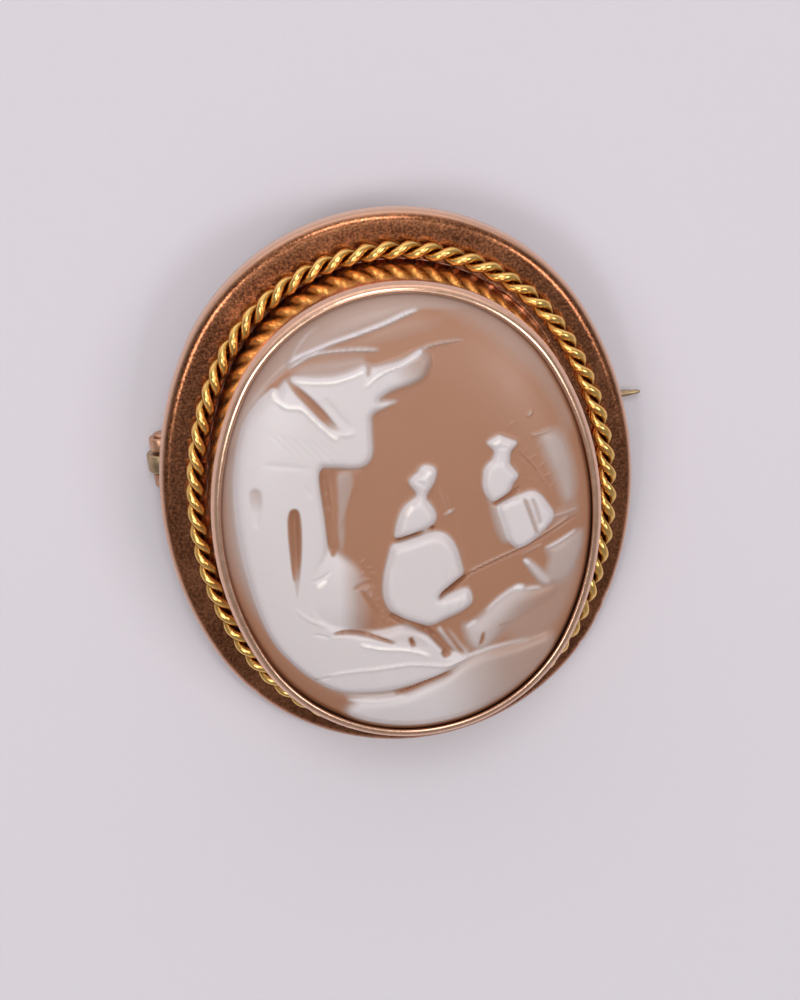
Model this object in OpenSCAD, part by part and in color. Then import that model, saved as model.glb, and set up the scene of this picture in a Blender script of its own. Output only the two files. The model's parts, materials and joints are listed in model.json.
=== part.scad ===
// Cameo brooch: a carved shell cameo in a rose gold frame, edged with a twisted gold wire.
// The brooch is drawn face up on its own axes: X along the pin, Y towards its top, Z out of
// its face, with z = 0 on the flange's face and the pin's line at y = pin_y. The whole is
// then tipped and lifted to lie as it does on a table, on its lower rim, pin head and catch.

/* [Oval] */
// Width of the brooch over its flange
brooch_w = 30.2; // [27:0.1:40]
// Length of the brooch over its flange
brooch_l = 35.8; // [32:0.1:48]
// How much smaller the radius of the rounded ends is than half the width
end_ease = 0.9; // [0.5:0.1:2]
// Turn of the oval against the line of the pin, in degrees
oval_turn = -2.4; // [-6:0.1:6]

/* [Flange] */
// Depth of the turned-down rim
rim_h = 1.25; // [0.9:0.05:2]
// Radius of the rim's rounded top edge
rim_r = 0.35; // [0.2:0.05:0.6]
// Thickness of the flange's sheet
sheet_t = 0.45; // [0.3:0.05:0.6]

/* [Collar] */
// Distance from the flange's edge in to the collar's wall
collar_inset = 3.04; // [2.4:0.02:4]
// Height of the collar's wall up to its bend
collar_h = 5.6; // [4.8:0.1:7]
// Thickness of the collar's wall
wall_t = 0.35; // [0.25:0.05:0.5]
// Length of the lip that is bent in over the cameo
lip_len = 0.6; // [0.5:0.02:0.8]
// Slope of the lip, in degrees
lip_angle = 50; // [40:1:60]
// Thickness of the lip
lip_t = 0.28; // [0.2:0.02:0.32]
// Width of the ledge
seat_w = 0.7; // [0.5:0.05:1.2]
// Thickness of the ledge
seat_t = 0.6; // [0.4:0.05:1]

/* [Rope] */
// Diameter of each of the two wires that are twisted together
strand_d = 0.58; // [0.4:0.02:0.7]
// Full turns of the twist round the oval
rope_turns = 34; // [20:1:44]
// How far the rope's middle lies to the right of the oval's middle
rope_right = 0.2; // [0:0.05:0.3]
// How far the rope's middle lies below the oval's middle
rope_drop = 0.35; // [0:0.05:0.5]

/* [Cameo] */
// Rise of the shell's dome above its edge
dome_h = 2.3; // [1:0.1:3.5]
// Thickness of the shell at its edge
edge_t = 1.55; // [1:0.05:2]
// Rise of the hollow back
back_rise = 1.5; // [0.5:0.1:2]
// Width of the flat border round the hollow back
back_border = 1.2; // [0.8:0.1:2]
// Height of the boldest carving above the shell's ground
relief_h = 0.8; // [0.3:0.05:1]
// Width of the edge over which the carving runs out
relief_fade = 1.0; // [0.6:0.1:2]

/* [Pin] */
// Distance of the pin's line above the middle of the oval
pin_y = 2.9; // [-4:0.1:5]
// Depth of the pin head and catch behind the flange's face
back_depth = 4.2; // [3.8:0.1:6]
// Diameter of the pin's wire
pin_d = 0.54; // [0.4:0.02:0.7]
// Length of the pin from the rivet to its point
pin_len = 31.0; // [30.2:0.1:42]
// Length of the tapered point
point_len = 2.4; // [1.5:0.1:5]
// Diameter of the blunt end of the point
point_d = 0.22; // [0.12:0.02:0.3]

/* [Hinge] */
// Distance of the rivet in from the flange's edge
hinge_inset = 0.6; // [0.5:0.05:1.5]
// Diameter of the pin's head
head_d = 2.2; // [1.8:0.1:2.6]
// Width of the pin's head along the rivet
head_w = 1.2; // [0.8:0.1:2]
// Diameter of the two ears that carry the rivet
ear_d = 1.6; // [1.4:0.1:1.7]
// Width of each ear along the rivet
ear_w = 0.9; // [0.6:0.1:1.4]
// Diameter of the rivet
rivet_d = 0.6; // [0.4:0.05:0.7]
// Diameter of the rivet's two round heads
rivet_head_d = 1.0; // [0.9:0.05:1.2]
// Thickness of the rivet's heads
rivet_head_t = 0.22; // [0.15:0.01:0.35]

/* [Catch] */
// Distance of the catch's middle in from the flange's edge
catch_inset = 1.6; // [1.3:0.1:3]
// Width of the catch along the pin
catch_w = 1.5; // [1:0.1:2]
// Outer diameter of the catch's hook
hook_d = 2.2; // [2:0.1:2.6]
// Thickness of the hook
hook_t = 0.45; // [0.35:0.05:0.55]
// Thickness of the post that carries the hook
post_t = 0.7; // [0.5:0.05:1]

/* [Clearances] */
// Gap between the rope and the metal beside it, and between its two wires
rope_gap = 0.03; // [0.02:0.01:0.06]
// Gap round the cameo and under it
cameo_gap = 0.04; // [0.03:0.01:0.06]
// Gap between the cameo's edge and the lip
lip_gap = 0.12; // [0.06:0.01:0.2]
// Running clearance round the rivet
rivet_gap = 0.03; // [0.02:0.01:0.06]
// Gap between the pin's head and each ear
ear_gap = 0.15; // [0.05:0.01:0.25]
// Gap between the pin and the hook that it presses on
hook_gap = 0.04; // [0.02:0.01:0.08]
// Play of the pin in the hook's mouth
mouth_play = 0.36; // [0.2:0.02:0.5]

/* [Hidden] */
$fn = 96;
// How far a cut runs past the solid that it cuts
past = 1;

// The oval of the flange's edge: two end arcs and two side arcs that meet on one tangent
end_r = brooch_w/2 - end_ease;
end_c = brooch_l/2 - end_r;
side_r = (pow(brooch_w/2, 2) + pow(end_c, 2) - pow(end_r, 2))/(2*end_ease);
side_c = side_r - brooch_w/2;
meet = atan2(end_c, side_c);

// Lines of the collar and the cameo, measured in from the flange's edge
wall_in = collar_inset + wall_t;
cameo_in = wall_in + cameo_gap;

// The lip leans in from the top of the wall, and the cameo's edge lies just under it
lip_along = [cos(lip_angle), sin(lip_angle)];
lip_out = [-sin(lip_angle), cos(lip_angle)];
bend = [collar_inset, collar_h];
bend_r = 0.25;
nose = bend + lip_len*lip_along - lip_t/2*lip_out;
lip_under = nose - lip_t/2*lip_out;
lip_root = lip_under - (lip_under[0] - wall_in)/lip_along[0]*lip_along;
edge_z = lip_root[1] - lip_gap;
seat_h = edge_z - edge_t - cameo_gap;

// The rope lies on the flange, a little off the middle, and meets the collar at its upper left
rope_r = strand_d + rope_gap/2;
rope_in = collar_inset - rope_gap - rope_r - norm([rope_right, rope_drop]);
rope_z = rope_gap + rope_r;
// Rings of points in one turn of a wire, and points in a ring
strand_steps = 8;
strand_sides = 6;

// Hinge and catch
rivet_x = -brooch_w/2 + hinge_inset;
rivet_z = -back_depth + head_d/2;
catch_x = brooch_w/2 - catch_inset;
hook_z = -back_depth + hook_d/2;
pin_z = hook_z - (hook_d/2 - hook_t) + hook_gap + pin_d/2;
hook_mouth = pin_d + mouth_play;
ear_step = head_w/2 + ear_gap;
// Bevel of the pin head's edges
knuckle_round = 0.12;
// Distance from the head's bore out to the end of the wire that is soldered to it
wire_start = 0.12;
// How deep a soldered foot runs into the flange's sheet
solder = 0.1;

// Resting: the lower rim and the pin head's lower edge touch the table
low_y = -(end_c*cos(oval_turn) + end_r);
rest_y = pin_y - head_w/2 + knuckle_round;
rest_tilt = atan2(back_depth - rim_h, rest_y - low_y);
function tip_y(p) = p[0]*cos(rest_tilt) - p[1]*sin(rest_tilt);
function tip_z(p) = p[0]*sin(rest_tilt) + p[1]*cos(rest_tilt);
right_x = rivet_x + pin_len;
left_x = min(rivet_x - head_d/2, side_c*cos(oval_turn) - side_r);
back_y = tip_y([-low_y, -rim_h]);
front_y = tip_y([low_y + rim_r, -rim_r]) - rim_r;
rest = [-(left_x + right_x)/2, -(back_y + front_y)/2, -tip_z([low_y, -rim_h])];

// Points of an arc about c, from angle a0 to a1
function arc(c, r, a0, a1, n) =
    [for (i = [0:n]) let (a = a0 + (a1 - a0)*i/n) [c[0] + r*cos(a), c[1] + r*sin(a)]];

// How far the oval's edge, taken in by s, lies from the middle in the direction a
function edge_at(a, s) =
    let (q = abs(asin(sin(a))),
         corner = atan2(end_c + (end_r - s)*sin(meet), (end_r - s)*cos(meet)),
         c = q < corner ? -side_c*cos(q) : end_c*sin(q),
         r = q < corner ? side_r - s : end_r - s,
         far = q < corner ? side_c : end_c)
    c + sqrt(c*c - far*far + r*r);

// Half the oval's width at height y, with the edge taken in by s
function half_width(y, s) =
    abs(y) < (side_r - s)*sin(meet) ? sqrt(pow(side_r - s, 2) - y*y) - side_c
    : sqrt(max(0, pow(end_r - s, 2) - pow(abs(y) - end_c, 2)));

// Stations round the oval: the arc's middle, its radius and the direction outwards
end_steps = 22;
side_steps = 14;
function arc_stations(c, r, a0, a1, n) =
    [for (i = [0:n - 1]) [c, r, a0 + (a1 - a0)*i/n]];
stations = concat(
    arc_stations([-side_c, 0], side_r, -meet, meet, side_steps),
    arc_stations([0, end_c], end_r, meet, 180 - meet, end_steps),
    arc_stations([side_c, 0], side_r, 180 - meet, 180 + meet, side_steps),
    arc_stations([0, -end_c], end_r, 180 + meet, 360 - meet, end_steps));

// A ring that joins points in closed loops of n, each loop to the next and the last to the first
module ring(points, n) {
    loops = len(points)/n;
    polyhedron(points, [for (i = [0:loops - 1], j = [0:n - 1])
        let (k = (i + 1)%loops, m = (j + 1)%n)
        for (f = [[i*n + j, i*n + m, k*n + m], [i*n + j, k*n + m, k*n + j]]) f]);
}

// Sweeps a section, drawn as distance in from the edge and height, round the oval
module oval_sweep(section) {
    ring([for (t = stations, p = section)
        [t[0][0] + (t[1] - p[0])*cos(t[2]), t[0][1] + (t[1] - p[0])*sin(t[2]), p[1]]],
        len(section));
}

// The frame's section: turned-down rim, flange, collar, lip and the ledge inside
bend_cut = bend_r*tan((90 - lip_angle)/2);
frame_section = concat(
    [[0, -rim_h]],
    arc([rim_r, -rim_r], rim_r, 180, 90, 3),
    [[collar_inset, 0]],
    arc(bend + [bend_r, -bend_cut], bend_r, 180, lip_angle + 90, 2),
    arc(nose, lip_t/2, lip_angle + 90, lip_angle - 90, 3),
    [lip_root,
     [wall_in, seat_h], [wall_in + seat_w, seat_h], [wall_in + seat_w, seat_h - seat_t],
     [wall_in, seat_h - seat_t - seat_w], [wall_in, -sheet_t], [sheet_t, -sheet_t],
     [sheet_t, -rim_h]]);

// An ear of the hinge: a round barrel on a foot that is soldered under the flange
module ear(side) {
    y = pin_y + side*(ear_step + ear_w/2);
    translate([rivet_x, y + ear_w/2, rivet_z]) rotate([90, 0, 0]) cylinder(d = ear_d, h = ear_w);
    translate([rivet_x, y - ear_w/2, rivet_z])
        cube([ear_d/2, ear_w, -sheet_t + solder - rivet_z]);
}

// The catch: a C-shaped hook, open towards the brooch's lower edge, on a soldered post
module catch() {
    translate([catch_x - catch_w/2, pin_y, hook_z]) rotate([0, 90, 0]) difference() {
        cylinder(d = hook_d, h = catch_w);
        translate([0, 0, -past]) cylinder(d = hook_d - 2*hook_t, h = catch_w + 2*past);
        translate([-hook_mouth/2, -hook_d, -past]) cube([hook_mouth, hook_d, catch_w + 2*past]);
    }
    translate([catch_x - catch_w/2, pin_y - post_t/2, hook_z + hook_d/2 - hook_t/2])
        cube([catch_w, post_t, -sheet_t + solder - hook_z - hook_d/2 + hook_t/2]);
}

module frame() {
    color([0.80, 0.55, 0.42]) difference() {
        union() {
            rotate([0, 0, oval_turn]) oval_sweep(frame_section);
            ear(1);
            ear(-1);
            catch();
        }
        translate([rivet_x, pin_y + ear_step + ear_w + past, rivet_z]) rotate([90, 0, 0])
            cylinder(d = rivet_d + 2*rivet_gap, h = 2*(ear_step + ear_w + past));
    }
}

// A point on the rope's centre line at share t of the way round, with the outward direction
rope_end = (end_r - rope_in)*(180 - 2*meet);
rope_side = (side_r - rope_in)*2*meet;
function rope_angle(t) =
    let (half = floor(2*t), along = (2*t - half)*(rope_end + rope_side))
    180*half + (along < rope_side ? -meet + along/(side_r - rope_in)
                : meet + (along - rope_side)/(end_r - rope_in));
function rope_centre(t) =
    let (half = floor(2*t), a = rope_angle(t), local = a - 180*half, sign = 1 - 2*half)
    local <= meet
    ? sign*[-side_c + (side_r - rope_in)*cos(local), (side_r - rope_in)*sin(local)]
    : sign*[(end_r - rope_in)*cos(local), end_c + (end_r - rope_in)*sin(local)];

// One wire of the rope: a tube wound left-handed about the rope's centre line
module rope_strand(phase) {
    rings = rope_turns*strand_steps;
    wind = rope_r - strand_d/2;
    lay = atan2(2*PI*wind*rope_turns, 2*(rope_end + rope_side)*PI/180);
    points = [for (i = [0:rings - 1])
        let (t = i/rings, c = rope_centre(t), a = rope_angle(t), w = phase + 360*i/strand_steps,
             out = [cos(a), sin(a), 0], up = [0, 0, 1], ahead = [-sin(a), cos(a), 0],
             away = cos(w)*out + sin(w)*up,
             round = -sin(w)*out + cos(w)*up,
             side = round*cos(lay) - ahead*sin(lay),
             middle = [c[0] + rope_right, c[1] - rope_drop, rope_z] + wind*away)
        for (j = [0:strand_sides - 1])
            let (v = 360*j/strand_sides) middle + strand_d/2*(cos(v)*away + sin(v)*side)];
    color([0.83, 0.62, 0.28]) rotate([0, 0, oval_turn]) ring(points, strand_sides);
}

module rope_strand_1() rope_strand(0);
module rope_strand_2() rope_strand(180);

// The main forms of the carving: a cottage under a canopy of leaves, two small figures on a
// path, and the ground in front. Places are shares of the cameo's half width and half length.
// Columns: x, y, half width, half height, turn in degrees, height as a share of relief_h
RELIEF = [
    [-0.36, 0.62, 0.34, 0.09, 14, 0.55], // upper spray of leaves
    [-0.22, 0.56, 0.34, 0.10, 24, 0.70], // lower spray of leaves
    [-0.58, 0.44, 0.26, 0.16, -18, 0.80], // crown over the roof
    [-0.38, 0.34, 0.24, 0.11, 8, 1.00], // roof and its eave
    [-0.70, 0.20, 0.20, 0.22, 0, 0.75], // gable
    [-0.78, -0.10, 0.18, 0.34, 3, 0.70], // end wall
    [-0.50, 0.02, 0.13, 0.28, -3, 0.75], // wall beside the door
    [-0.58, -0.30, 0.26, 0.10, 0, 0.60], // doorstep
    [-0.42, -0.33, 0.22, 0.13, -10, 0.60], // bush
    [0.085, 0.205, 0.075, 0.065, 0, 0.80], // front figure's head
    [0.045, 0.045, 0.13, 0.12, 10, 0.90], // front figure's body
    [0.035, -0.21, 0.19, 0.20, 0, 0.85], // front figure's skirt
    [0.10, -0.37, 0.26, 0.08, -6, 0.60], // hem of the skirt
    [0.51, 0.315, 0.08, 0.065, 0, 0.60], // rear figure's head
    [0.49, 0.15, 0.10, 0.11, 0, 0.70], // rear figure's body
    [0.58, -0.02, 0.19, 0.10, 18, 0.65], // rear figure's skirt
    [0.56, -0.20, 0.44, 0.05, 22, 0.45], // plank of the bridge
    [0.62, -0.40, 0.30, 0.12, 24, 0.45], // bank on the right
    [-0.20, -0.60, 0.62, 0.12, -8, 0.60], // path
    [0.05, -0.78, 0.55, 0.13, 8, 0.50], // ground in front
    [-0.50, -0.55, 0.30, 0.16, -38, 0.55], // slope on the left
];

// Height of the carving above the ground at a place given in shares
function bump(x, y, f) =
    let (u = x - f[0], v = y - f[1],
         p = (u*cos(f[4]) + v*sin(f[4]))/f[2], q = (v*cos(f[4]) - u*sin(f[4]))/f[3],
         d = 1 - p*p - q*q)
    d <= 0 ? 0 : relief_h*f[5]*min(1, flat_ratio*d);
function carving(x, y) = max([for (f = RELIEF) bump(x, y, f)]);

// Steepness of a form's sides: higher values give it a wider flat top
flat_ratio = 2.2;
// The dome is a shallow bowl and a bowl with steep sides added together: the shallow one's
// share, and how many times the nearness to the edge is multiplied by itself for the other
bowl_ratio = 0.55;
steep_count = 8;

// The shell's front and back heights at a point, from how near the point is to the edge
cameo_hw = brooch_w/2 - cameo_in;
cameo_hl = brooch_l/2 - cameo_in;
function nearness(p, s) = norm(p) < 0.001 ? 0 : norm(p)/edge_at(atan2(p[1], p[0]), s);
function front_z(p) =
    let (n = min(1, nearness(p, cameo_in)),
         fade = min(1, (1 - n)*cameo_hw/relief_fade))
    edge_z + dome_h*(bowl_ratio*(1 - n*n) + (1 - bowl_ratio)*(1 - pow(n, steep_count)))
    + fade*carving(p[0]/cameo_hw, p[1]/cameo_hl);
function back_z(p) =
    let (n = min(1, nearness(p, cameo_in + back_border)))
    seat_h + cameo_gap + back_rise*sqrt(1 - n*n);

// The cameo: rows of points across the oval, carved in front and hollowed behind
module cameo() {
    rows = 58;
    front = 46;
    back = 10;
    ys = [for (j = [1:rows - 1]) cameo_hl*(2*j/rows - 1)];
    function across(j, i, n) = [half_width(ys[j], cameo_in)*(2*i/n - 1), ys[j]];
    per = front + 1 + back - 1;
    points = concat(
        [for (j = [0:rows - 2]) for (k = [0:per - 1])
            let (p = k <= front ? across(j, k, front) : across(j, back - (k - front), back))
            [p[0], p[1], k <= front ? front_z(p) : back_z(p)]],
        [[0, -cameo_hl, edge_z], [0, cameo_hl, edge_z]]);
    last = len(points) - 1;
    faces = concat(
        [for (j = [0:rows - 3], k = [0:per - 1])
            let (a = j*per + k, b = j*per + (k + 1)%per, c = a + per, d = b + per)
            for (f = [[a, c, b], [b, c, d]]) f],
        [for (k = [0:per - 1]) [last - 1, k, (k + 1)%per]],
        [for (k = [0:per - 1]) [last, (rows - 2)*per + (k + 1)%per, (rows - 2)*per + k]]);
    color([0.86, 0.78, 0.72]) rotate([0, 0, oval_turn]) polyhedron(points, faces);
}

// The hinge's rivet, with a round head against each ear
module hinge_rivet() {
    reach = ear_step + ear_w + rivet_gap;
    color([0.80, 0.55, 0.42]) translate([rivet_x, pin_y, rivet_z]) rotate([90, 0, 0]) {
        translate([0, 0, -reach - rivet_head_t/2]) cylinder(d = rivet_d, h = 2*reach + rivet_head_t);
        for (side = [0, 180]) rotate([side, 0, 0]) translate([0, 0, reach])
            cylinder(d = rivet_head_d, h = rivet_head_t);
    }
}

// The pin: a round head on the rivet, and a wire with a tapered point soldered to it
module pin() {
    color([0.70, 0.62, 0.48]) {
        translate([rivet_x, pin_y + head_w/2, rivet_z]) rotate([90, 0, 0]) rotate_extrude()
            difference() {
                translate([rivet_d/2 + rivet_gap, 0]) square([head_d/2 - rivet_d/2 - rivet_gap, head_w]);
                for (y = [0, head_w]) translate([head_d/2, y]) rotate(45)
                    square(knuckle_round*sqrt(2), center = true);
            }
        wire_x = rivet_x + rivet_d/2 + rivet_gap + wire_start;
        translate([wire_x, pin_y, pin_z]) rotate([0, 90, 0])
            cylinder(d = pin_d, h = right_x - point_len - wire_x);
        translate([right_x - point_len, pin_y, pin_z]) rotate([0, 90, 0])
            cylinder(d1 = pin_d, d2 = point_d, h = point_len);
    }
}

// Sets the upright brooch down on the table
module laid() translate(rest) rotate([rest_tilt, 0, 0]) children();

laid() frame();
laid() rope_strand_1();
laid() rope_strand_2();
laid() cameo();
laid() hinge_rivet();
laid() pin();
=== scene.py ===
"""Cameo brooch: gold sheet frame, twisted wire border, carved shell, hinge, catch and pin."""

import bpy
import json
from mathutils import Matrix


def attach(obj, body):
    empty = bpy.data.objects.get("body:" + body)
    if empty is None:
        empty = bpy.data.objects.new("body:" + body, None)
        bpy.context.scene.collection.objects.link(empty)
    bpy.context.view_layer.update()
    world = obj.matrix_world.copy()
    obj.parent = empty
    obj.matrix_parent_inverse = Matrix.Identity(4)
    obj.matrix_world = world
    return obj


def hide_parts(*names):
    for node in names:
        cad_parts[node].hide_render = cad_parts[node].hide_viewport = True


bl_info = {
    "name": "Cameo Brooch",
    "version": (1, 0, 0),
    "blender": (4, 5, 0),
    "location": "View3D > Sidebar > Brooch",
    "description": "Models a carved shell cameo in a gold frame with a twisted wire border",
    "category": "Add Mesh",
}

import json
import math

import bpy
import numpy as np
from bpy.props import FloatProperty, FloatVectorProperty, IntProperty, PointerProperty
from mathutils import Matrix, Vector

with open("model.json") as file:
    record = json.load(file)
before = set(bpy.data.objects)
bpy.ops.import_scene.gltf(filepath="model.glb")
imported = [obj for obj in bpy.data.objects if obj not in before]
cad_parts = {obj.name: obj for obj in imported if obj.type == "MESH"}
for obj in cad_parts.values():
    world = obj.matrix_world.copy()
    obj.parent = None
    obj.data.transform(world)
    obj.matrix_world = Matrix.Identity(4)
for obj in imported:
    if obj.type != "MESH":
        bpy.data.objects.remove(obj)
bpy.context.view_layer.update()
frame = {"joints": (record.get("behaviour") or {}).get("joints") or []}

MM = 0.001
# Points closer than this are merged
NEAR = 0.000001
# Radius of the edges of the small turned and bent pieces
SOFT = 0.12 * MM
# Faces that meet at less than this angle in degrees are shaded as one
SHARP = 34


def length(name, description, millimetres):
    """A size that the user may change, in the scene's metres."""
    return FloatProperty(name=name, description=description, default=millimetres * MM,
                         unit="LENGTH", precision=5)


def slant(name, description, degrees):
    """An angle that the user may change."""
    return FloatProperty(name=name, description=description, default=math.radians(degrees),
                         subtype="ANGLE")


def spot(name, description, millimetres):
    """A point that the user may change, in the scene's metres."""
    return FloatVectorProperty(name=name, description=description, size=3, precision=4,
                               default=[v * MM for v in millimetres], subtype="XYZ_LENGTH")


def colour(name, description, value):
    """A finish colour that the user may change."""
    return FloatVectorProperty(name=name, description=description, default=value,
                               subtype="COLOR", size=3, min=0.0, max=1.0)


class BroochSheet(bpy.types.PropertyGroup):
    """Sizes of the flange, collar, lip and ledge."""

    width: length("Width", "Width over the flange", 30.2)
    height: length("Length", "Length over the flange", 35.8)
    end_ease: length("End ease", "How much smaller an end's radius is than half the width", 0.9)
    turn: slant("Turn", "Turn of the oval against the pin's line", -2.4)
    rim_depth: length("Rim depth", "Depth of the turned-down rim", 1.25)
    rim_round: length("Rim rounding", "Radius of the rim's worn top edge", 0.75)
    sheet: length("Sheet", "Thickness of the flange", 0.45)
    collar_inset: length("Collar inset", "From the flange's edge in to the collar", 3.04)
    collar_height: length("Collar height", "Height of the collar up to its bend", 5.6)
    wall: length("Wall", "Thickness of the collar's wall", 0.35)
    bend: length("Bend", "Radius of the collar's bend", 0.25)
    lip: length("Lip", "Length of the lip over the cameo", 0.6)
    lip_slope: slant("Lip slope", "Slope of the lip", 50)
    lip_sheet: length("Lip sheet", "Thickness of the lip", 0.28)
    ledge: length("Ledge", "Width of the ledge inside", 0.7)
    ledge_sheet: length("Ledge sheet", "Thickness of the ledge", 0.6)


class BroochRope(bpy.types.PropertyGroup):
    """Sizes of the twisted wire border."""

    wire: length("Wire", "Diameter of each of the two wires", 0.58)
    gap: length("Gap", "Gap between the wires and the metal beside them", 0.03)
    turns: IntProperty(name="Turns", description="Full turns of the twist", default=34)
    right: length("Right", "How far the rope's middle lies right of the oval's", 0.2)
    drop: length("Drop", "How far the rope's middle lies below the oval's", 0.35)


class BroochCameo(bpy.types.PropertyGroup):
    """Sizes of the carved shell."""

    gap: length("Gap", "Gap round the cameo", 0.04)
    lip_gap: length("Lip gap", "Gap under the lip", 0.12)
    dome: length("Dome", "Rise of the dome above the edge", 2.3)
    edge: length("Edge", "Thickness at the edge", 1.55)
    back_rise: length("Hollow", "Rise of the hollow back", 1.5)
    back_border: length("Back border", "Flat border round the hollow back", 1.2)


class BroochPin(bpy.types.PropertyGroup):
    """Sizes of the hinge, the catch and the pin."""

    line: length("Line", "Height of the pin's line above the oval's middle", 2.9)
    depth: length("Depth", "Depth of the pin head and catch behind the flange", 4.2)
    wire: length("Wire", "Diameter of the pin's wire", 0.54)
    reach: length("Reach", "From the rivet to the point", 31.0)
    taper: length("Taper", "Length of the tapered point", 2.4)
    tip: length("Tip", "Diameter of the blunt tip", 0.22)
    hinge_inset: length("Hinge inset", "From the flange's edge in to the rivet", 0.6)
    head: length("Head", "Diameter of the pin's head", 2.2)
    head_width: length("Head width", "Width of the head along the rivet", 1.2)
    ear: length("Ear", "Diameter of the hinge's ears", 1.6)
    ear_width: length("Ear width", "Width of each ear", 0.9)
    ear_gap: length("Ear gap", "Gap between the head and an ear", 0.15)
    rivet: length("Rivet", "Diameter of the rivet", 0.6)
    rivet_gap: length("Rivet gap", "Clearance round the rivet", 0.03)
    rivet_head: length("Rivet head", "Diameter of the rivet's heads", 1.0)
    rivet_sheet: length("Rivet head sheet", "Thickness of the rivet's heads", 0.22)
    catch_inset: length("Catch inset", "From the flange's edge in to the catch", 1.6)
    catch_width: length("Catch width", "Width of the catch along the pin", 1.5)
    hook: length("Hook", "Outer diameter of the catch's hook", 2.2)
    hook_sheet: length("Hook sheet", "Thickness of the hook", 0.45)
    hook_gap: length("Hook gap", "Gap between the pin and the hook", 0.04)
    mouth_play: length("Mouth play", "Play of the pin in the hook's mouth", 0.36)
    post: length("Post", "Thickness of the catch's post", 0.7)
    solder: length("Solder", "How deep a soldered foot runs into the flange", 0.1)


class BroochFinish(bpy.types.PropertyGroup):
    """Colours of the metals, the shell and the stage."""

    rose: colour("Rose gold", "Polished rose gold", (0.87, 0.555, 0.40))
    rose_handled: colour("Handled rose gold", "Rose gold of the collar where it is handled",
                         (0.80, 0.48, 0.33))
    rose_worn: colour("Worn flange", "Rose gold of the flange where it is rubbed", (0.46, 0.185, 0.09))
    rose_dark: colour("Tarnish", "Tarnish in the pits of the flange", (0.16, 0.056, 0.026))
    back_light: colour("Back", "Rose gold sheet behind", (0.80, 0.50, 0.34))
    back_dark: colour("Back stains", "Stains of the soldering behind", (0.50, 0.25, 0.15))
    yellow: colour("Yellow gold", "Polished yellow gold wire", (0.92, 0.57, 0.18))
    # Painted shade: the dark colour where the two wires meet stands for the shade between them
    wire_shade: colour("Wire patina", "Patina between the wires", (0.26, 0.09, 0.014))
    brass: colour("Pin metal", "Drawn wire of the pin", (0.62, 0.46, 0.27))
    brass_dark: colour("Pin stains", "Stains on the pin's wire", (0.36, 0.25, 0.15))
    white: colour("White layer", "The shell's white layer", (0.73, 0.66, 0.665))
    # Painted highlight: this pale colour along the ridges stands for their glint
    ridge_highlight: colour("Ridges", "The white layer where it is worn smooth", (0.98, 0.91, 0.87))
    haze: colour("Thin white layer", "The white layer where brown shows through", (0.48, 0.355, 0.31))
    ground: colour("Ground", "The shell's brown ground", (0.42, 0.203, 0.12))
    # Painted shade: the darker brown at the bottom of the cuts stands for the shade in them
    deep: colour("Deep cuts", "The ground at the bottom of a cut", (0.28, 0.11, 0.055))
    # Painted shade: near black laid along the seam between the shell and the rim
    seam_shade: colour("Grime", "Dirt in the seam between the shell and the rim", (0.04, 0.016, 0.010))
    floor: colour("Floor", "The pale floor", (0.75, 0.71, 0.76))


class BroochStage(bpy.types.PropertyGroup):
    """Where the camera stands, on the oval's own axes."""

    eye: spot("Eye", "The camera's place", (-11.2, 53.86, 151.87))
    aim: spot("Aim", "The point the camera looks at", (-0.28, 0.50, 4.0))
    roll: slant("Roll", "Turn of the picture", 4.19)
    sensor: FloatProperty(name="Sensor", description="Height of the sensor in mm", default=24.0,
                          unit="CAMERA")
    lens: FloatProperty(name="Lens", description="Focal length in mm", default=61.02, unit="CAMERA")


class Oval:
    """The brooch's outline: two end arcs and two side arcs that meet on one tangent."""

    def __init__(self, sheet):
        half = sheet.width / 2
        self.end_r = half - sheet.end_ease
        self.end_c = sheet.height / 2 - self.end_r
        self.side_r = (half**2 + self.end_c**2 - self.end_r**2) / (2 * sheet.end_ease)
        self.side_c = self.side_r - half
        self.meet = math.atan2(self.end_c, self.side_c)

    def arcs(self):
        """Each arc's centre, radius, first angle and sweep, round the oval from its right side."""
        side, end = 2 * self.meet, math.pi - 2 * self.meet
        return [
            (Vector((-self.side_c, 0, 0)), self.side_r, -self.meet, side),
            (Vector((0, self.end_c, 0)), self.end_r, self.meet, end),
            (Vector((self.side_c, 0, 0)), self.side_r, math.pi - self.meet, side),
            (Vector((0, -self.end_c, 0)), self.end_r, math.pi + self.meet, end),
        ]

    def edge(self, angle, inset):
        """How far the edge, taken in by inset, lies from the middle in each direction."""
        q = np.abs(np.arcsin(np.sin(angle)))
        corner = math.atan2(self.end_c + (self.end_r - inset) * math.sin(self.meet),
                            (self.end_r - inset) * math.cos(self.meet))
        side = q < corner
        along = np.where(side, -self.side_c * np.cos(q), self.end_c * np.sin(q))
        radius = np.where(side, self.side_r - inset, self.end_r - inset)
        far = np.where(side, self.side_c, self.end_c)
        return along + np.sqrt(along**2 - far**2 + radius**2)

    def path(self, inset, count):
        """Points, spaced evenly along the oval taken in by inset, each with its direction outwards."""
        arcs = self.arcs()
        runs = [(radius - inset) * sweep for _, radius, _, sweep in arcs]
        path = []
        for i in range(count):
            along = sum(runs) * i / count
            for (centre, radius, first, sweep), run in zip(arcs, runs):
                if along < run:
                    break
                along -= run
            angle = first + sweep * along / run
            out = Vector((math.cos(angle), math.sin(angle), 0))
            path.append((centre + (radius - inset) * out, out))
        return path


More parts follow.
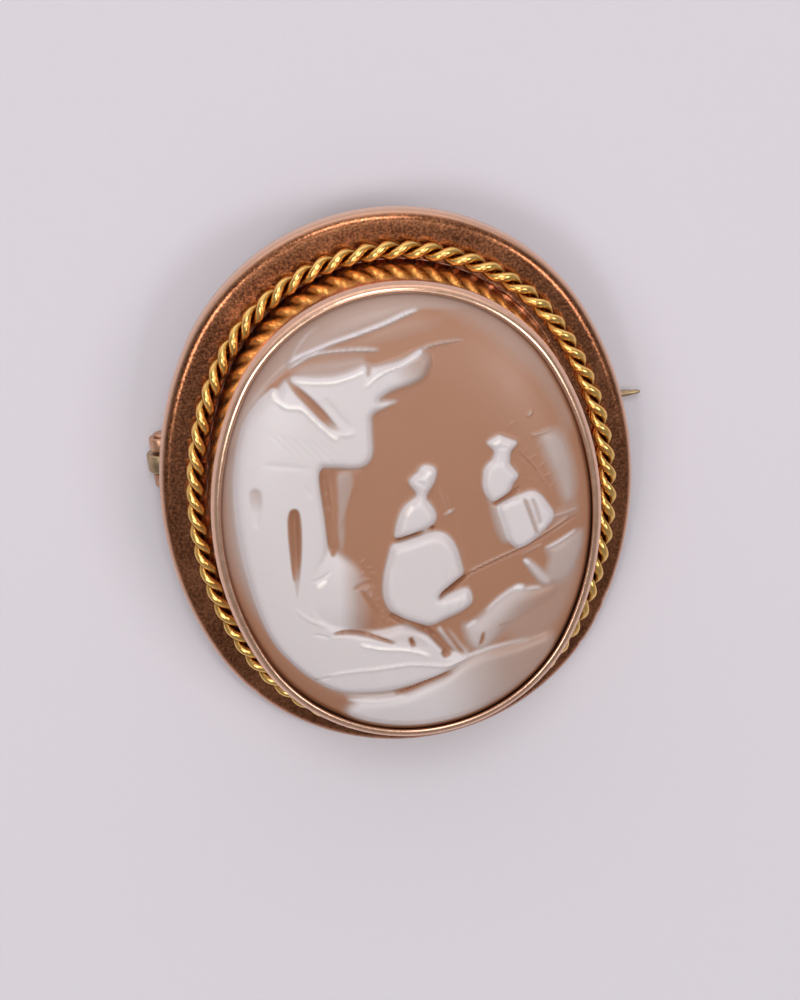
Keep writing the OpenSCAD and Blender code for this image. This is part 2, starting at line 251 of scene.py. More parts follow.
class Places:
    """The scene's sizes, and places that several pieces share, on the brooch's own axes."""

    def __init__(self, scene):
        self.sheet, self.rope, self.cameo = scene.brooch_sheet, scene.brooch_rope, scene.brooch_cameo
        self.pin, self.colours = scene.brooch_pin, scene.brooch_finish
        sheet, cameo, pin = self.sheet, self.cameo, self.pin
        self.outline = Oval(sheet)
        slope = Vector((math.cos(sheet.lip_slope), math.sin(sheet.lip_slope)))
        out = Vector((-slope.y, slope.x))
        bend = Vector((sheet.collar_inset, sheet.collar_height))
        self.wall_in = sheet.collar_inset + sheet.wall
        self.nose = bend + sheet.lip * slope - sheet.lip_sheet / 2 * out
        under = self.nose - sheet.lip_sheet / 2 * out
        self.lip_root = under - (under.x - self.wall_in) / slope.x * slope
        self.cameo_edge = self.lip_root.y - cameo.lip_gap
        self.cameo_in = self.wall_in + cameo.gap
        self.ledge = self.cameo_edge - cameo.edge - cameo.gap
        self.bore = pin.rivet / 2 + pin.rivet_gap
        self.rivet = Vector((pin.hinge_inset - sheet.width / 2, pin.line, pin.head / 2 - pin.depth))
        self.hook = Vector((sheet.width / 2 - pin.catch_inset, pin.line, pin.hook / 2 - pin.depth))
        self.stem_z = self.hook.z - pin.hook / 2 + pin.hook_sheet + pin.hook_gap + pin.wire / 2
        self.solder_z = pin.solder - sheet.sheet
        joint = frame["joints"][0]
        tilt = math.atan2(joint["axis"][2], joint["axis"][1])
        laid = Matrix.Translation(joint["pos_m"]) @ Matrix.Rotation(tilt, 4, "X")
        self.brooch = laid @ Matrix.Translation(-self.rivet)
        self.oval = self.brooch @ Matrix.Rotation(sheet.turn, 4, "Z")


def pick(*pieces):
    """Goes back to object mode and selects these pieces alone."""
    if bpy.context.object and bpy.context.object.mode != "OBJECT":
        bpy.ops.object.mode_set(mode="OBJECT")
    bpy.ops.object.select_all(action="DESELECT")
    for piece in pieces:
        piece.select_set(True)
        bpy.context.view_layer.objects.active = pieces[0]


def named(name):
    """Names the primitive that was just added and puts its place into its mesh."""
    piece = bpy.context.object
    piece.name = piece.data.name = name
    bpy.ops.object.transform_apply(location=True, rotation=True, scale=True)
    return piece


def draw_line(name, points, closed):
    """Draws a line of edges by extruding one vertex from point to point."""
    pick()
    bpy.ops.mesh.primitive_plane_add(size=MM, location=points[0])
    piece = named(name)
    bpy.ops.object.mode_set(mode="EDIT")
    bpy.ops.mesh.merge(type="CENTER")
    ends = points[1:] + (points[:1] if closed else [])
    for start, end in zip(points, ends):
        bpy.ops.mesh.extrude_region_move(TRANSFORM_OT_translate={"value": Vector(end) - Vector(start)})
    bpy.ops.mesh.select_all(action="SELECT")
    bpy.ops.mesh.remove_doubles(threshold=NEAR)
    bpy.ops.mesh.select_all(action="SELECT")
    return piece


def close_up(piece):
    """Merges what meets, turns the faces outwards and leaves edit mode."""
    bpy.ops.mesh.select_all(action="SELECT")
    bpy.ops.mesh.remove_doubles(threshold=NEAR)
    bpy.ops.mesh.normals_make_consistent(inside=False)
    bpy.ops.object.mode_set(mode="OBJECT")
    return piece


def turned(name, outline, centre, axis, steps):
    """Spins an outline of (radius, place along the axis) points into a turned solid."""
    along = Vector(axis)
    across = along.orthogonal().normalized()
    points = [centre + r * across + t * along for r, t in outline]
    piece = draw_line(name, points, False)
    bpy.ops.mesh.spin(steps=steps, angle=2 * math.pi, center=centre, axis=along)
    return close_up(piece)


def washer(name, middle, width, bore, radius, soft_steps, steps):
    """A turned disc with a bore along y and softened edges."""
    half, corner = width / 2, radius - SOFT
    outline = ([Vector((bore, -half))]
               + arc((corner, SOFT - half), SOFT, 270, 360, soft_steps)
               + arc((corner, half - SOFT), SOFT, 0, 90, soft_steps)
               + [Vector((bore, half)), Vector((bore, -half))])
    return turned(name, outline, middle, (0, 1, 0), steps)


def block(name, low, high, rounding):
    """A bar between two corners, with its edges bevelled."""
    pick()
    low, high = Vector(low), Vector(high)
    bpy.ops.mesh.primitive_cube_add(size=1, location=(low + high) / 2, scale=high - low)
    piece = named(name)
    bpy.ops.object.mode_set(mode="EDIT")
    bpy.ops.mesh.select_all(action="SELECT")
    bpy.ops.mesh.bevel(offset=rounding, segments=3, affect="EDGES")
    bpy.ops.object.mode_set(mode="OBJECT")
    return piece


def soldered(piece, other):
    """Makes one solid of a piece and another."""
    pick(piece)
    change = piece.modifiers.new("soldered", "BOOLEAN")
    change.operation = "UNION"
    change.solver = "EXACT"
    change.object = other
    bpy.ops.object.modifier_apply(modifier=change.name)
    bpy.data.objects.remove(other)
    return piece


def put_down(piece, finishes, place, body, node, sharp=SHARP):
    """Lays a finished piece in the frame, smooths it and says what it stands for."""
    for finish in finishes:
        piece.data.materials.append(finish)
    piece.data.transform(place)
    pick(piece)
    bpy.ops.object.shade_smooth_by_angle(angle=math.radians(sharp))
    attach(piece, body)
    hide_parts(node)


def arc(centre, radius, first, last, steps):
    """Points of an arc, with its angles in degrees."""
    angles = [math.radians(first + (last - first) * i / steps) for i in range(steps + 1)]
    return [Vector((centre[0] + radius * math.cos(a), centre[1] + radius * math.sin(a)))
            for a in angles]


def read_points(mesh):
    """A mesh's points as rows of x, y and z."""
    points = np.empty(3 * len(mesh.vertices))
    mesh.vertices.foreach_get("co", points)
    return points.reshape(-1, 3)


def note(mesh, name, values):
    """Stores a value on each of a mesh's points, for its finish to read."""
    mesh.attributes.new(name, "FLOAT", "POINT").data.foreach_set("value", values)


class Wire:
    """An output socket, with the sums that the finishes use written as Python."""

    def __init__(self, nodes, socket):
        self.nodes = nodes
        self.socket = socket

    def maths(self, operation, first, second):
        """A Math node on two values or sockets."""
        return self.nodes.node("ShaderNodeMath", {"operation": operation}, {0: first, 1: second})

    def __add__(self, other):
        return self.maths("ADD", self, other)

    def __sub__(self, other):
        return self.maths("SUBTRACT", self, other)

    def __rsub__(self, other):
        return self.maths("SUBTRACT", other, self)

    def __mul__(self, other):
        return self.maths("MULTIPLY", self, other)

    __radd__ = __add__
    __rmul__ = __mul__

    def above(self, low, high):
        """0 below low, 1 above high and an even slope between."""
        return self.nodes.node("ShaderNodeMapRange", {}, {0: self, 1: low, 2: high})


class Nodes:
    """The node tree of a material or a world, emptied, and the nodes that are added to it."""

    def __init__(self, owner):
        owner.use_nodes = True
        self.owner = owner
        self.tree = owner.node_tree
        self.tree.nodes.clear()

    def node(self, kind, settings, inputs, output=0):
        """Adds any node: its settings first, then the values or links of its sockets.

        A ramp's stops are a setting too: rows of a position and a colour.
        """
        made = self.tree.nodes.new(kind)
        for key, value in settings.items():
            if key == "stops":
                self.set_stops(made.color_ramp.elements, value)
            else:
                setattr(made, key, value)
        for key, value in inputs.items():
            if isinstance(value, Wire):
                self.tree.links.new(value.socket, made.inputs[key])
            else:
                made.inputs[key].default_value = value
        return Wire(self, made.outputs[output]) if made.outputs else None

    def set_stops(self, elements, stops):
        """Gives a colour ramp its stops, adding those that it lacks."""
        while len(elements) < len(stops):
            elements.new(1.0)
        for element, (position, shade) in zip(elements, stops):
            element.position = position
            element.color = (*shade, 1)


class Finish(Nodes):
    """One material. Sizes and depths are in millimetres."""

    def __init__(self, name):
        super().__init__(bpy.data.materials.new(name))

    def place(self):
        """The point on the piece, in metres."""
        return self.node("ShaderNodeTexCoord", {}, {}, "Object")

    def grain(self, size, detail=3.0, stretch=None):
        """Cloudy noise from 0 to 1 whose features are about that size."""
        place = self.place()
        if stretch:
            place = self.node("ShaderNodeMapping", {}, {"Vector": place, "Scale": stretch})
        return self.node("ShaderNodeTexNoise", {},
                         {"Vector": place, "Scale": 1 / (size * MM), "Detail": detail})

    def pits(self, size):
        """Distance from the middle of scattered cells of about that size."""
        return self.node("ShaderNodeTexVoronoi", {}, {"Vector": self.place(), "Scale": 1 / (size * MM)})

    def written(self, name):
        """A value that is stored on the piece's points."""
        return self.node("ShaderNodeAttribute", {"attribute_name": name}, {}, "Fac")

    def blend(self, share, first, second):
        """A colour between two colours, by the mix node's colour sockets."""
        pair = [v if isinstance(v, Wire) else (*v, 1.0) for v in (first, second)]
        return self.node("ShaderNodeMix", {"data_type": "RGBA"}, {0: share, 6: pair[0], 7: pair[1]}, 2)

    def bump(self, height, depth, strength):
        """A normal that is roughened by a height."""
        return self.node("ShaderNodeBump", {},
                         {"Height": height, "Distance": depth * MM, "Strength": strength})

    def surface(self, **inputs):
        """The shader itself, from sockets named with underscores for spaces."""
        wired = {key.replace("_", " "): value for key, value in inputs.items()}
        shader = self.node("ShaderNodeBsdfPrincipled", {}, wired)
        self.node("ShaderNodeOutputMaterial", {}, {"Surface": shader})
        return self.owner

    def metal(self, tint, rough, normal):
        """Bare metal."""
        return self.surface(Base_Color=tint, Metallic=1.0, Roughness=rough, Normal=normal)


def flange_gold(colours):
    """Rose gold sheet, finely pitted and tarnished, rubbed bright along its edge."""
    f = Finish("flange_gold")
    fine, broad, spots = f.grain(0.16, 4.0), f.grain(2.2, 2.0), f.pits(0.30)
    rubbed = fine.above(0.40, 0.62) * 0.70 + broad.above(0.4, 0.65) * 0.35
    tint = f.blend(rubbed, colours.rose_dark, colours.rose_worn)
    tint = f.blend((f.written("inward") + 0.04 * fine).above(0.03, 0.13), colours.rose, tint)
    rough = 0.12 + 0.12 * fine + 0.06 * spots.above(0.1, 0.5)
    return f.metal(tint, rough, f.bump(fine + 0.6 * spots, 0.008, 0.6))


def collar_gold(colours):
    """Polished rose gold with faint handling marks, a little duller on the lip."""
    f = Finish("collar_gold")
    marks = f.grain(0.5, 4.0)
    tint = f.blend(marks.above(0.35, 0.7), colours.rose_handled, colours.rose)
    rough = 0.09 + 0.10 * marks + 0.10 * f.written("inward").above(1.03, 1.1)
    return f.metal(tint, rough, f.bump(marks, 0.006, 0.3))


def back_gold(colours):
    """Rose gold sheet behind, dull from wear and the soldering."""
    f = Finish("back_gold")
    broad, fine = f.grain(1.6, 4.0), f.grain(0.12)
    tint = f.blend(broad.above(0.35, 0.7), colours.back_dark, colours.back_light)
    return f.metal(tint, 0.28 + 0.2 * broad, f.bump(fine, 0.004, 0.4))


def rope_gold(colours):
    """Yellow gold wire, bright on its crowns, with painted shade darkening it where the wires meet."""
    f = Finish("rope_gold")
    wear = f.grain(0.25)
    crown = f.written("crown") + 0.25 * wear - 0.12
    # Points near the rope's middle, where the wires meet, take the painted shade
    tint = f.blend(crown.above(0.38, 0.90), colours.wire_shade, colours.yellow)
    return f.metal(tint, 0.16 + 0.14 * wear, f.bump(wear, 0.020, 0.7))


def pin_metal(colours):
    """Drawn base metal wire, dull, with fine drawing lines."""
    f = Finish("pin_metal")
    lines, stain = f.grain(0.08, 2.0, (0.05, 1.0, 1.0)), f.grain(0.9)
    tint = f.blend(stain.above(0.35, 0.7), colours.brass_dark, colours.brass)
    return f.metal(tint, 0.26 + 0.18 * stain, f.bump(lines, 0.005, 0.5))


def carved_shell(colours):
    """Shell in layers: white on top, brown below, a haze where the white is thin, with painted shade in the
    cuts and the seam and painted highlights on the ridges.
    """
    f = Finish("carved_shell")
    cloud, fine = f.grain(2.5), f.grain(0.2, 4.0)
    layer = f.written("white_layer") + 0.10 * (cloud - 0.5) + 0.03 * (fine - 0.5)
    # Below 0 the layer paints shade: darker brown in the cuts, near black in the seam by the rim
    tint = f.blend(layer.above(-1.0, -0.45), colours.seam_shade, colours.deep)
    # Above 1.02 the layer paints highlights along the ridges
    for low, high, name in [(-0.35, 0.0, "ground"), (0.06, 0.42, "haze"), (0.40, 0.82, "white"),
                            (1.02, 1.30, "ridge_highlight")]:
        tint = f.blend(layer.above(low, high), tint, getattr(colours, name))
    return f.surface(
        Base_Color=tint, Roughness=0.30 + 0.12 * fine, Normal=f.bump(fine + 0.5 * cloud, 0.004, 0.3),
        IOR=1.5, Subsurface_Weight=0.12, Subsurface_Radius=(1.0, 0.55, 0.4), Subsurface_Scale=0.3 * MM,
    )


def pale_floor(colours):
    """Plain pale paper."""
    f = Finish("pale_floor")
    tint = f.blend(f.grain(0.8, 4.0), [0.99 * c for c in colours.floor], colours.floor)
    return f.surface(Base_Color=tint, Roughness=0.85)


# How far along an edge a corner is cut, and how often
CORNER_CUT, CORNER_CUTS = 0.25, 2


def eased(t):
    """0 below 0, 1 above 1 and a soft slope between."""
    t = np.clip(t, 0, 1)
    return t * t * (3 - 2 * t)


def rounded(points, closed):
    """A line through the points with its corners cut, so that it runs smoothly."""
    line = np.array(points, float)
    share = CORNER_CUT
    for _ in range(CORNER_CUTS):
        after = np.roll(line, -1, axis=0) if closed else line[1:]
        first = line if closed else line[:-1]
        cut = np.stack([(1 - share) * first + share * after, share * first + (1 - share) * after], axis=1)
        cut = cut.reshape(-1, 2)
        line = cut if closed else np.vstack([line[:1], cut, line[-1:]])
    return line


class Carving:
    """Heights and layers of the carved shell, worked out for all of its points at once.

    Points are on the oval's own axes. They, all widths and the heights above the ground are
    in millimetres. White is 1 for the full white layer and 0 for bare brown. Below 0, in a cut, it is
    painted shade darker than the bare brown; above 1, on a ridge, it is a painted highlight.
    """

    # How far a bar's flank reaches, in half widths
    BAR_REACH = 2.2
    # How sharply the white layer ends at the edge of a bar and of a mound
    BAR_WHITE, MOUND_WHITE = 1.6, 4

    def __init__(self, x, y):
        self.x, self.y = x, y
        self.height = np.zeros_like(x)
        self.lines = np.zeros_like(x)
        self.white = np.zeros_like(x)

    def near(self, line, reach):
        """The points that lie within reach of a line's own box."""
        low, high = np.min(line, axis=0) - reach, np.max(line, axis=0) + reach
        return np.nonzero((self.x > low[0]) & (self.x < high[0])
                          & (self.y > low[1]) & (self.y < high[1]))[0]

    def measure(self, line, here, closed):
        """Distance to a line, share of the way along it, and whether a closed one is round it."""
        x, y = self.x[here], self.y[here]
        far = np.full(len(here), np.inf)
        share = np.zeros(len(here))
        inside = np.zeros(len(here), bool)
        ends = np.roll(line, -1, axis=0) if closed else line[1:]
        run = np.hypot(*(ends - line[:len(ends)]).T)
        total, done = run.sum(), 0.0
        for (ax, ay), (bx, by), step in zip(line, ends, run):
            dx, dy = bx - ax, by - ay
            t = np.clip(((x - ax) * dx + (y - ay) * dy) / (step * step), 0, 1)
            d = np.hypot(x - ax - t * dx, y - ay - t * dy)
            nearer = d < far
            far = np.where(nearer, d, far)
            share = np.where(nearer, (done + t * step) / total, share)
            done += step
            if closed and ay != by:
                inside ^= ((ay > y) != (by > y)) & (x < ax + dx * (y - ay) / dy)
        return far, share, inside

    def plate(self, points, height, edge, white, soft, fade=None):
        """An area left standing, or with a negative height cut away, with rounded edges.

        Its edge rises over a width of edge, and its white layer thins out over one of soft.
        fade is two points between which white changes, and the white at the second.
        """
        line = rounded(points, True)
        here = self.near(line, soft)
        far, _, inside = self.measure(line, here, True)
        depth = np.where(inside, far, -far)
        rise = np.clip(depth / edge, 0, 1)
        layer = np.full(len(here), float(white))
        if fade:
            (ax, ay), (bx, by), last = fade
            run = (bx - ax) ** 2 + (by - ay) ** 2
            t = ((self.x[here] - ax) * (bx - ax) + (self.y[here] - ay) * (by - ay)) / run
            layer += (last - white) * eased(t)
        if height > 0:
            self.height[here] = np.maximum(self.height[here], height * rise * (2 - rise))
        else:
            self.height[here] += height * eased(rise)
        self.white[here] += (layer - self.white[here]) * eased(0.5 + depth / soft)

    def bar(self, points, width, rise, white=None, taper=0.3):
        """A line of a given half width that stands up, or with a negative rise is cut in.

        taper is the share of its length over which each end runs out.
        """
        line = rounded(points, False)
        here = self.near(line, self.BAR_REACH * width)
        far, share, _ = self.measure(line, here, False)
        ends = np.clip(np.minimum(share, 1 - share) / taper, 0, 1)
        body = np.exp(-((far / width) ** 2)) * np.sqrt(ends)
        self.lines[here] += rise * body
        if white is not None:
            self.white[here] += (white - self.white[here]) * np.clip(self.BAR_WHITE * body, 0, 1)

    def mound(self, centre, half, turn, height, white):
        """A rounded bump, or a pit, over an ellipse that is turned by degrees."""
        c, s = math.cos(math.radians(turn)), math.sin(math.radians(turn))
        u, v = self.x - centre[0], self.y - centre[1]
        d = ((u * c + v * s) / half[0]) ** 2 + ((v * c - u * s) / half[1]) ** 2
        body = np.clip(1 - d, 0, 1)
        self.lines += height * np.sqrt(body) * body
        self.white += (white - self.white) * np.clip(self.MOUND_WHITE * body, 0, 1)


def carve_sky(carving):
    """The grey veil left on the sky, and the long strokes of the treetops."""
    carving.plate([(2.6, 13.6), (4.6, 12.2), (6.4, 10.8), (8.2, 8.8), (9.6, 6.6), (10.4, 4.6), (13.0, 5.0),
                   (11.0, 10.4), (7.0, 14.0), (3.0, 16.0)], height=0.03, edge=1.5, white=0.40, soft=2.6)
    carving.plate([(3.6, -6.9), (6.3, -5.4), (8.6, -4.2), (10.2, -3.4), (10.6, -5.0), (9.2, -7.6),
                   (7.2, -9.4), (5.0, -8.0)], height=0.01, edge=1.0, white=0.24, soft=1.6)
    carving.plate([(-13.0, 3.0), (-10.5, 5.0), (-9.2, 8.0), (-8.0, 9.2), (-6.8, 10.2), (-5.5, 10.95),
                   (-4.58, 11.45), (-3.0, 11.92), (-1.66, 12.26), (-0.33, 12.64), (0.62, 12.98),
                   (1.6, 13.2), (3.2, 13.0), (5.4, 12.8), (4.0, 16.0), (-5.0, 16.0), (-11.0, 11.0)],
                  height=0.13, edge=0.5, white=0.36, soft=0.3)
    carving.plate([(-6.3, 10.4), (-4.5, 11.2), (-2.0, 11.9), (0.6, 12.7), (3.4, 12.7), (2.6, 11.9),
                   (-1.0, 11.3), (-4.0, 11.3), (-5.6, 10.85)], height=0.04, edge=0.6, white=0.13, soft=0.7)
    carving.plate([(-6.6, 9.95), (-5.4, 10.45), (-4.0, 10.75), (-1.8, 10.95), (-1.0, 11.1), (-2.8, 11.25),
                   (-4.4, 11.1), (-5.8, 10.6)], height=0.02, edge=0.5, white=0.10, soft=0.5)
    # Painted highlight along the first treetop stroke (white above 1)
    carving.bar([(-6.55, 10.6), (-6.2, 10.88), (-5.5, 11.15), (-4.58, 11.45), (-3.8, 11.72), (-3.0, 11.92),
                 (-1.66, 12.28), (-0.33, 12.64), (0.62, 13.0), (1.5, 13.2)],
                width=0.09, rise=0.19, white=1.10, taper=0.1)
    carving.bar([(-6.56, 10.3), (-5.67, 10.82), (-5.0, 11.12), (-4.1, 11.24), (-3.06, 11.27),
                 (-2.0, 11.23), (-1.0, 11.1)], width=0.08, rise=0.14, white=0.80, taper=0.15)
    carving.bar([(-6.5, 10.6), (-5.85, 11.65), (-5.1, 12.4), (-4.5, 12.75)],
                width=0.08, rise=0.07, white=0.5)
    carving.bar([(0.9, 10.65), (1.6, 10.98), (2.4, 11.15), (3.45, 11.2), (4.1, 11.2)],
                width=0.07, rise=0.12, white=0.55)
    carving.bar([(5.0, 12.3), (4.5, 11.9), (4.0, 11.7)], width=0.04, rise=-0.03, white=0.1)


def carve_band(carving):
    """The thin layer between the white of the cottage and the rim, fading at the lower left into painted
    shade from the lip.
    """
    carving.plate([(-13.0, 4.0), (-10.6, 5.4), (-9.8, 4.0), (-9.9, -1.5), (-9.0, -6.0), (-7.4, -8.6),
                   (-5.4, -10.4), (-3.0, -11.2), (-3.0, -12.6), (-6.5, -12.5), (-10.0, -9.0),
                   (-12.5, -2.0)],
                  height=0.01, edge=1.0, white=0.26, soft=1.0, fade=((-10.6, 0.0), (-8.6, -8.0), -0.05))
    carving.plate([(-8.3, 9.3), (-9.4, 8.2), (-10.2, 6.6), (-10.7, 4.6), (-10.9, 2.0), (-10.8, -0.4),
                   (-10.4, -3.2), (-9.7, -5.8), (-8.6, -7.9), (-7.0, -9.8), (-5.0, -11.3), (-2.0, -12.0),
                   (-1.0, -9.0), (-5.0, -4.0), (-6.0, 2.0), (-5.0, 8.0)],
                  height=0.01, edge=0.8, white=0.50, soft=1.0, fade=((-10.6, -1.0), (-8.2, -8.6), 0.34))


def carve_treetop(carving):
    """The leafy crown over the cottage and the crease between it and the roof."""
    carving.plate([(-6.6, 9.85), (-5.7, 10.0), (-4.7, 10.15), (-3.7, 10.25), (-2.6, 10.4), (-1.9, 10.42),
                   (-1.6, 10.15), (-1.0, 10.25), (0.1, 10.5), (0.8, 10.75), (1.6, 10.95), (2.1, 10.4),
                   (1.8, 9.6), (1.4, 9.15), (0.62, 8.9), (-0.04, 8.8), (-0.7, 8.6), (-1.5, 8.1),
                   (-0.75, 8.05), (-0.1, 8.0), (-1.0, 7.7), (-1.86, 7.35), (-1.9, 6.7), (-1.93, 5.9),
                   (-1.95, 5.1), (-2.15, 4.5), (-2.65, 4.15), (-3.3, 4.1), (-4.2, 4.28), (-5.1, 4.3),
                   (-7.0, 5.0), (-8.2, 7.6), (-7.5, 8.8), (-7.1, 9.4)],
                  height=0.46, edge=0.45, white=1.0, soft=0.42, fade=((-0.8, 8.2), (1.8, 10.0), 0.36))
    carving.plate([(-6.4, 9.95), (-5.15, 9.8), (-3.74, 9.8), (-2.68, 10.05), (-2.0, 10.35), (-1.9, 10.8),
                   (-2.6, 10.85), (-4.7, 10.65), (-5.8, 10.4)],
                  height=-0.02, edge=0.4, white=0.36, soft=0.6)
    # These two bars carry painted highlights along the crown's lower edge and its right side (white above
    # 1)
    carving.bar([(-6.45, 9.74), (-5.78, 9.67), (-5.15, 9.59), (-4.25, 9.54), (-3.74, 9.57), (-2.68, 9.82),
                 (-2.0, 10.12)], width=0.10, rise=0.17, white=1.38, taper=0.1)
    carving.bar([(-2.1, 9.12), (-1.68, 9.48), (-1.13, 9.82), (-0.59, 10.03), (0.08, 10.18), (0.76, 10.52),
                 (1.5, 10.9)], width=0.09, rise=0.17, white=1.30, taper=0.1)
    carving.bar([(-1.85, 10.5), (-1.74, 10.0), (-1.95, 9.65)], width=0.13, rise=-0.14, white=0.35)
    # A soft groove under the crown, greyed partly by thinner white and partly as painted shade
    carving.bar([(-4.6, 8.6), (-3.9, 7.6), (-3.1, 6.5)], width=0.22, rise=-0.10, white=0.86)
    # The crease between crown and roof, painted darker than bare brown as shade
    carving.plate([(-6.75, 9.9), (-6.5, 9.3), (-6.05, 8.7), (-5.5, 8.05), (-4.9, 7.3), (-4.3, 6.65),
                   (-3.4, 6.05), (-3.9, 6.85), (-4.4, 7.55), (-4.95, 8.3), (-5.55, 8.95), (-6.15, 9.5)],
                  height=-0.40, edge=0.34, white=-0.05, soft=0.30, fade=((-4.9, 7.6), (-3.5, 6.1), 0.8))
    carving.bar([(-4.3, 6.5), (-3.6, 6.28), (-2.9, 6.4)], width=0.10, rise=0.08, white=1.0)
    # Painted highlight along the roof's ridge (white above 1)
    carving.bar([(-7.5, 9.2), (-7.6, 8.8), (-7.2, 8.45), (-6.8, 8.2), (-6.4, 8.2), (-5.93, 8.12),
                 (-5.6, 7.75), (-5.05, 7.1), (-4.55, 6.55), (-3.98, 6.05)],
                width=0.11, rise=0.20, white=1.38, taper=0.08)


def carve_cottage(carving):
    """Roof, end wall, doorway, niche, the post beside the door and the recess behind it."""
    carving.plate([(-7.45, 9.35), (-7.95, 8.95), (-8.5, 8.42), (-9.02, 7.84), (-9.35, 7.4), (-9.7, 6.7),
                   (-9.98, 5.8), (-10.26, 4.7), (-10.42, 3.5), (-10.52, 2.33), (-10.52, 1.18),
                   (-10.45, -0.2), (-10.3, -1.6), (-10.05, -3.25), (-9.75, -4.8), (-9.3, -6.4),
                   (-8.7, -7.65), (-7.7, -8.95), (-6.75, -9.85), (-5.7, -10.6), (-4.5, -10.95),
                   (-3.1, -10.95), (-1.9, -10.9), (-0.8, -10.7), (0.0, -10.5), (1.2, -10.2), (2.4, -9.5),
                   (3.2, -9.1), (2.7, -8.85), (2.0, -8.6), (1.6, -8.0), (1.1, -7.4), (0.6, -6.95),
                   (-0.17, -6.6), (-0.9, -6.4), (-1.8, -6.55), (-2.6, -6.65), (-3.6, -6.55), (-5.2, -6.0),
                   (-5.9, -5.0), (-6.0, -3.6), (-5.8, -2.4), (-5.3, -1.6), (-5.12, -0.9), (-5.1, -0.3),
                   (-5.12, 1.0), (-5.2, 2.2), (-5.24, 3.6), (-5.1, 4.2), (-4.6, 5.0), (-5.5, 6.8),
                   (-6.3, 7.6), (-6.9, 8.6)], height=0.46, edge=0.5, white=1.0, soft=0.2)
    for step in range(6):
        x, y = -8.3 + 0.62 * step, 6.9 - 0.16 * step
        carving.bar([(x, y), (x + 0.8, y - 0.75), (x + 1.5, y - 1.7)], width=0.09, rise=-0.018, white=0.94)
    carving.bar([(-8.6, 4.75), (-7.0, 4.6), (-5.6, 4.35)], width=0.16, rise=-0.03, white=0.93)
    # The recess behind the post, painted darker than bare brown as shade
    carving.plate([(-5.35, 3.9), (-5.1, 4.35), (-4.7, 4.45), (-4.3, 4.2), (-4.1, 3.2), (-4.1, 1.8),
                   (-4.3, 0.4), (-4.5, -0.8), (-4.9, -1.6), (-5.15, -0.8), (-5.2, 1.2), (-5.3, 2.6)],
                  height=-0.22, edge=0.6, white=-0.08, soft=0.18)
    carving.plate([(-4.25, 4.0), (-3.2, 3.9), (-3.35, 2.9), (-3.75, 1.9), (-4.0, 0.9), (-4.1, -0.4),
                   (-4.3, -1.3), (-4.5, -0.2), (-4.35, 1.4), (-4.3, 2.6)],
                  height=0.08, edge=0.5, white=0.40, soft=0.42)
    carving.bar([(-4.65, 3.2), (-4.6, 1.8), (-4.7, 0.4), (-4.8, -0.8)], width=0.12, rise=0.05, white=0.08)
    carving.bar([(-3.1, 3.6), (-3.5, 2.5), (-4.0, 1.2), (-4.3, 0.2)], width=0.06, rise=0.06, white=0.2)
    carving.bar([(-2.7, 4.0), (-3.5, 4.0), (-4.3, 4.05)], width=0.12, rise=-0.1, white=0.1)
    # The doorway, painted darker than bare brown as shade, lighter towards its foot
    carving.plate([(-7.28, 1.85), (-6.96, 2.0), (-6.7, 1.85), (-6.63, 1.4), (-6.65, 0.2), (-6.76, -0.9),
                   (-6.88, -1.8), (-7.0, -2.7), (-7.15, -3.6), (-7.28, -4.1), (-7.38, -3.6), (-7.41, -2.4),
                   (-7.43, -1.0), (-7.43, 0.4), (-7.4, 1.3)],
                  height=-0.34, edge=0.36, white=-0.12, soft=0.16,
                  fade=((-6.98, -1.0), (-7.15, -3.4), 0.55))
    carving.bar([(-7.33, 1.5), (-7.38, 0.4), (-7.38, -1.0), (-7.36, -2.8)],
                width=0.08, rise=-0.08, white=-0.2, taper=0.3)
    # The niche, greyer at its top as painted shade under its upper edge
    carving.plate([(-9.6, 3.35), (-8.8, 3.35), (-8.75, 2.4), (-8.9, 1.5), (-9.2, 0.5), (-9.6, 1.0),
                   (-9.65, 2.2)],
                  height=-0.08, edge=0.3, white=0.58, soft=0.3, fade=((-9.2, 2.9), (-9.2, 1.0), 0.95))
    carving.bar([(-6.25, 3.4), (-5.85, 2.6)], width=0.10, rise=-0.04, white=0.9)
    carving.bar([(-6.3, -2.88), (-5.6, -2.62), (-5.1, -2.25)], width=0.08, rise=-0.07, white=0.75)
    # Painted highlight on a short stroke (white above 1)
    carving.bar([(-6.0, -3.28), (-5.7, -3.05), (-5.4, -2.82)], width=0.12, rise=0.08, white=1.45)


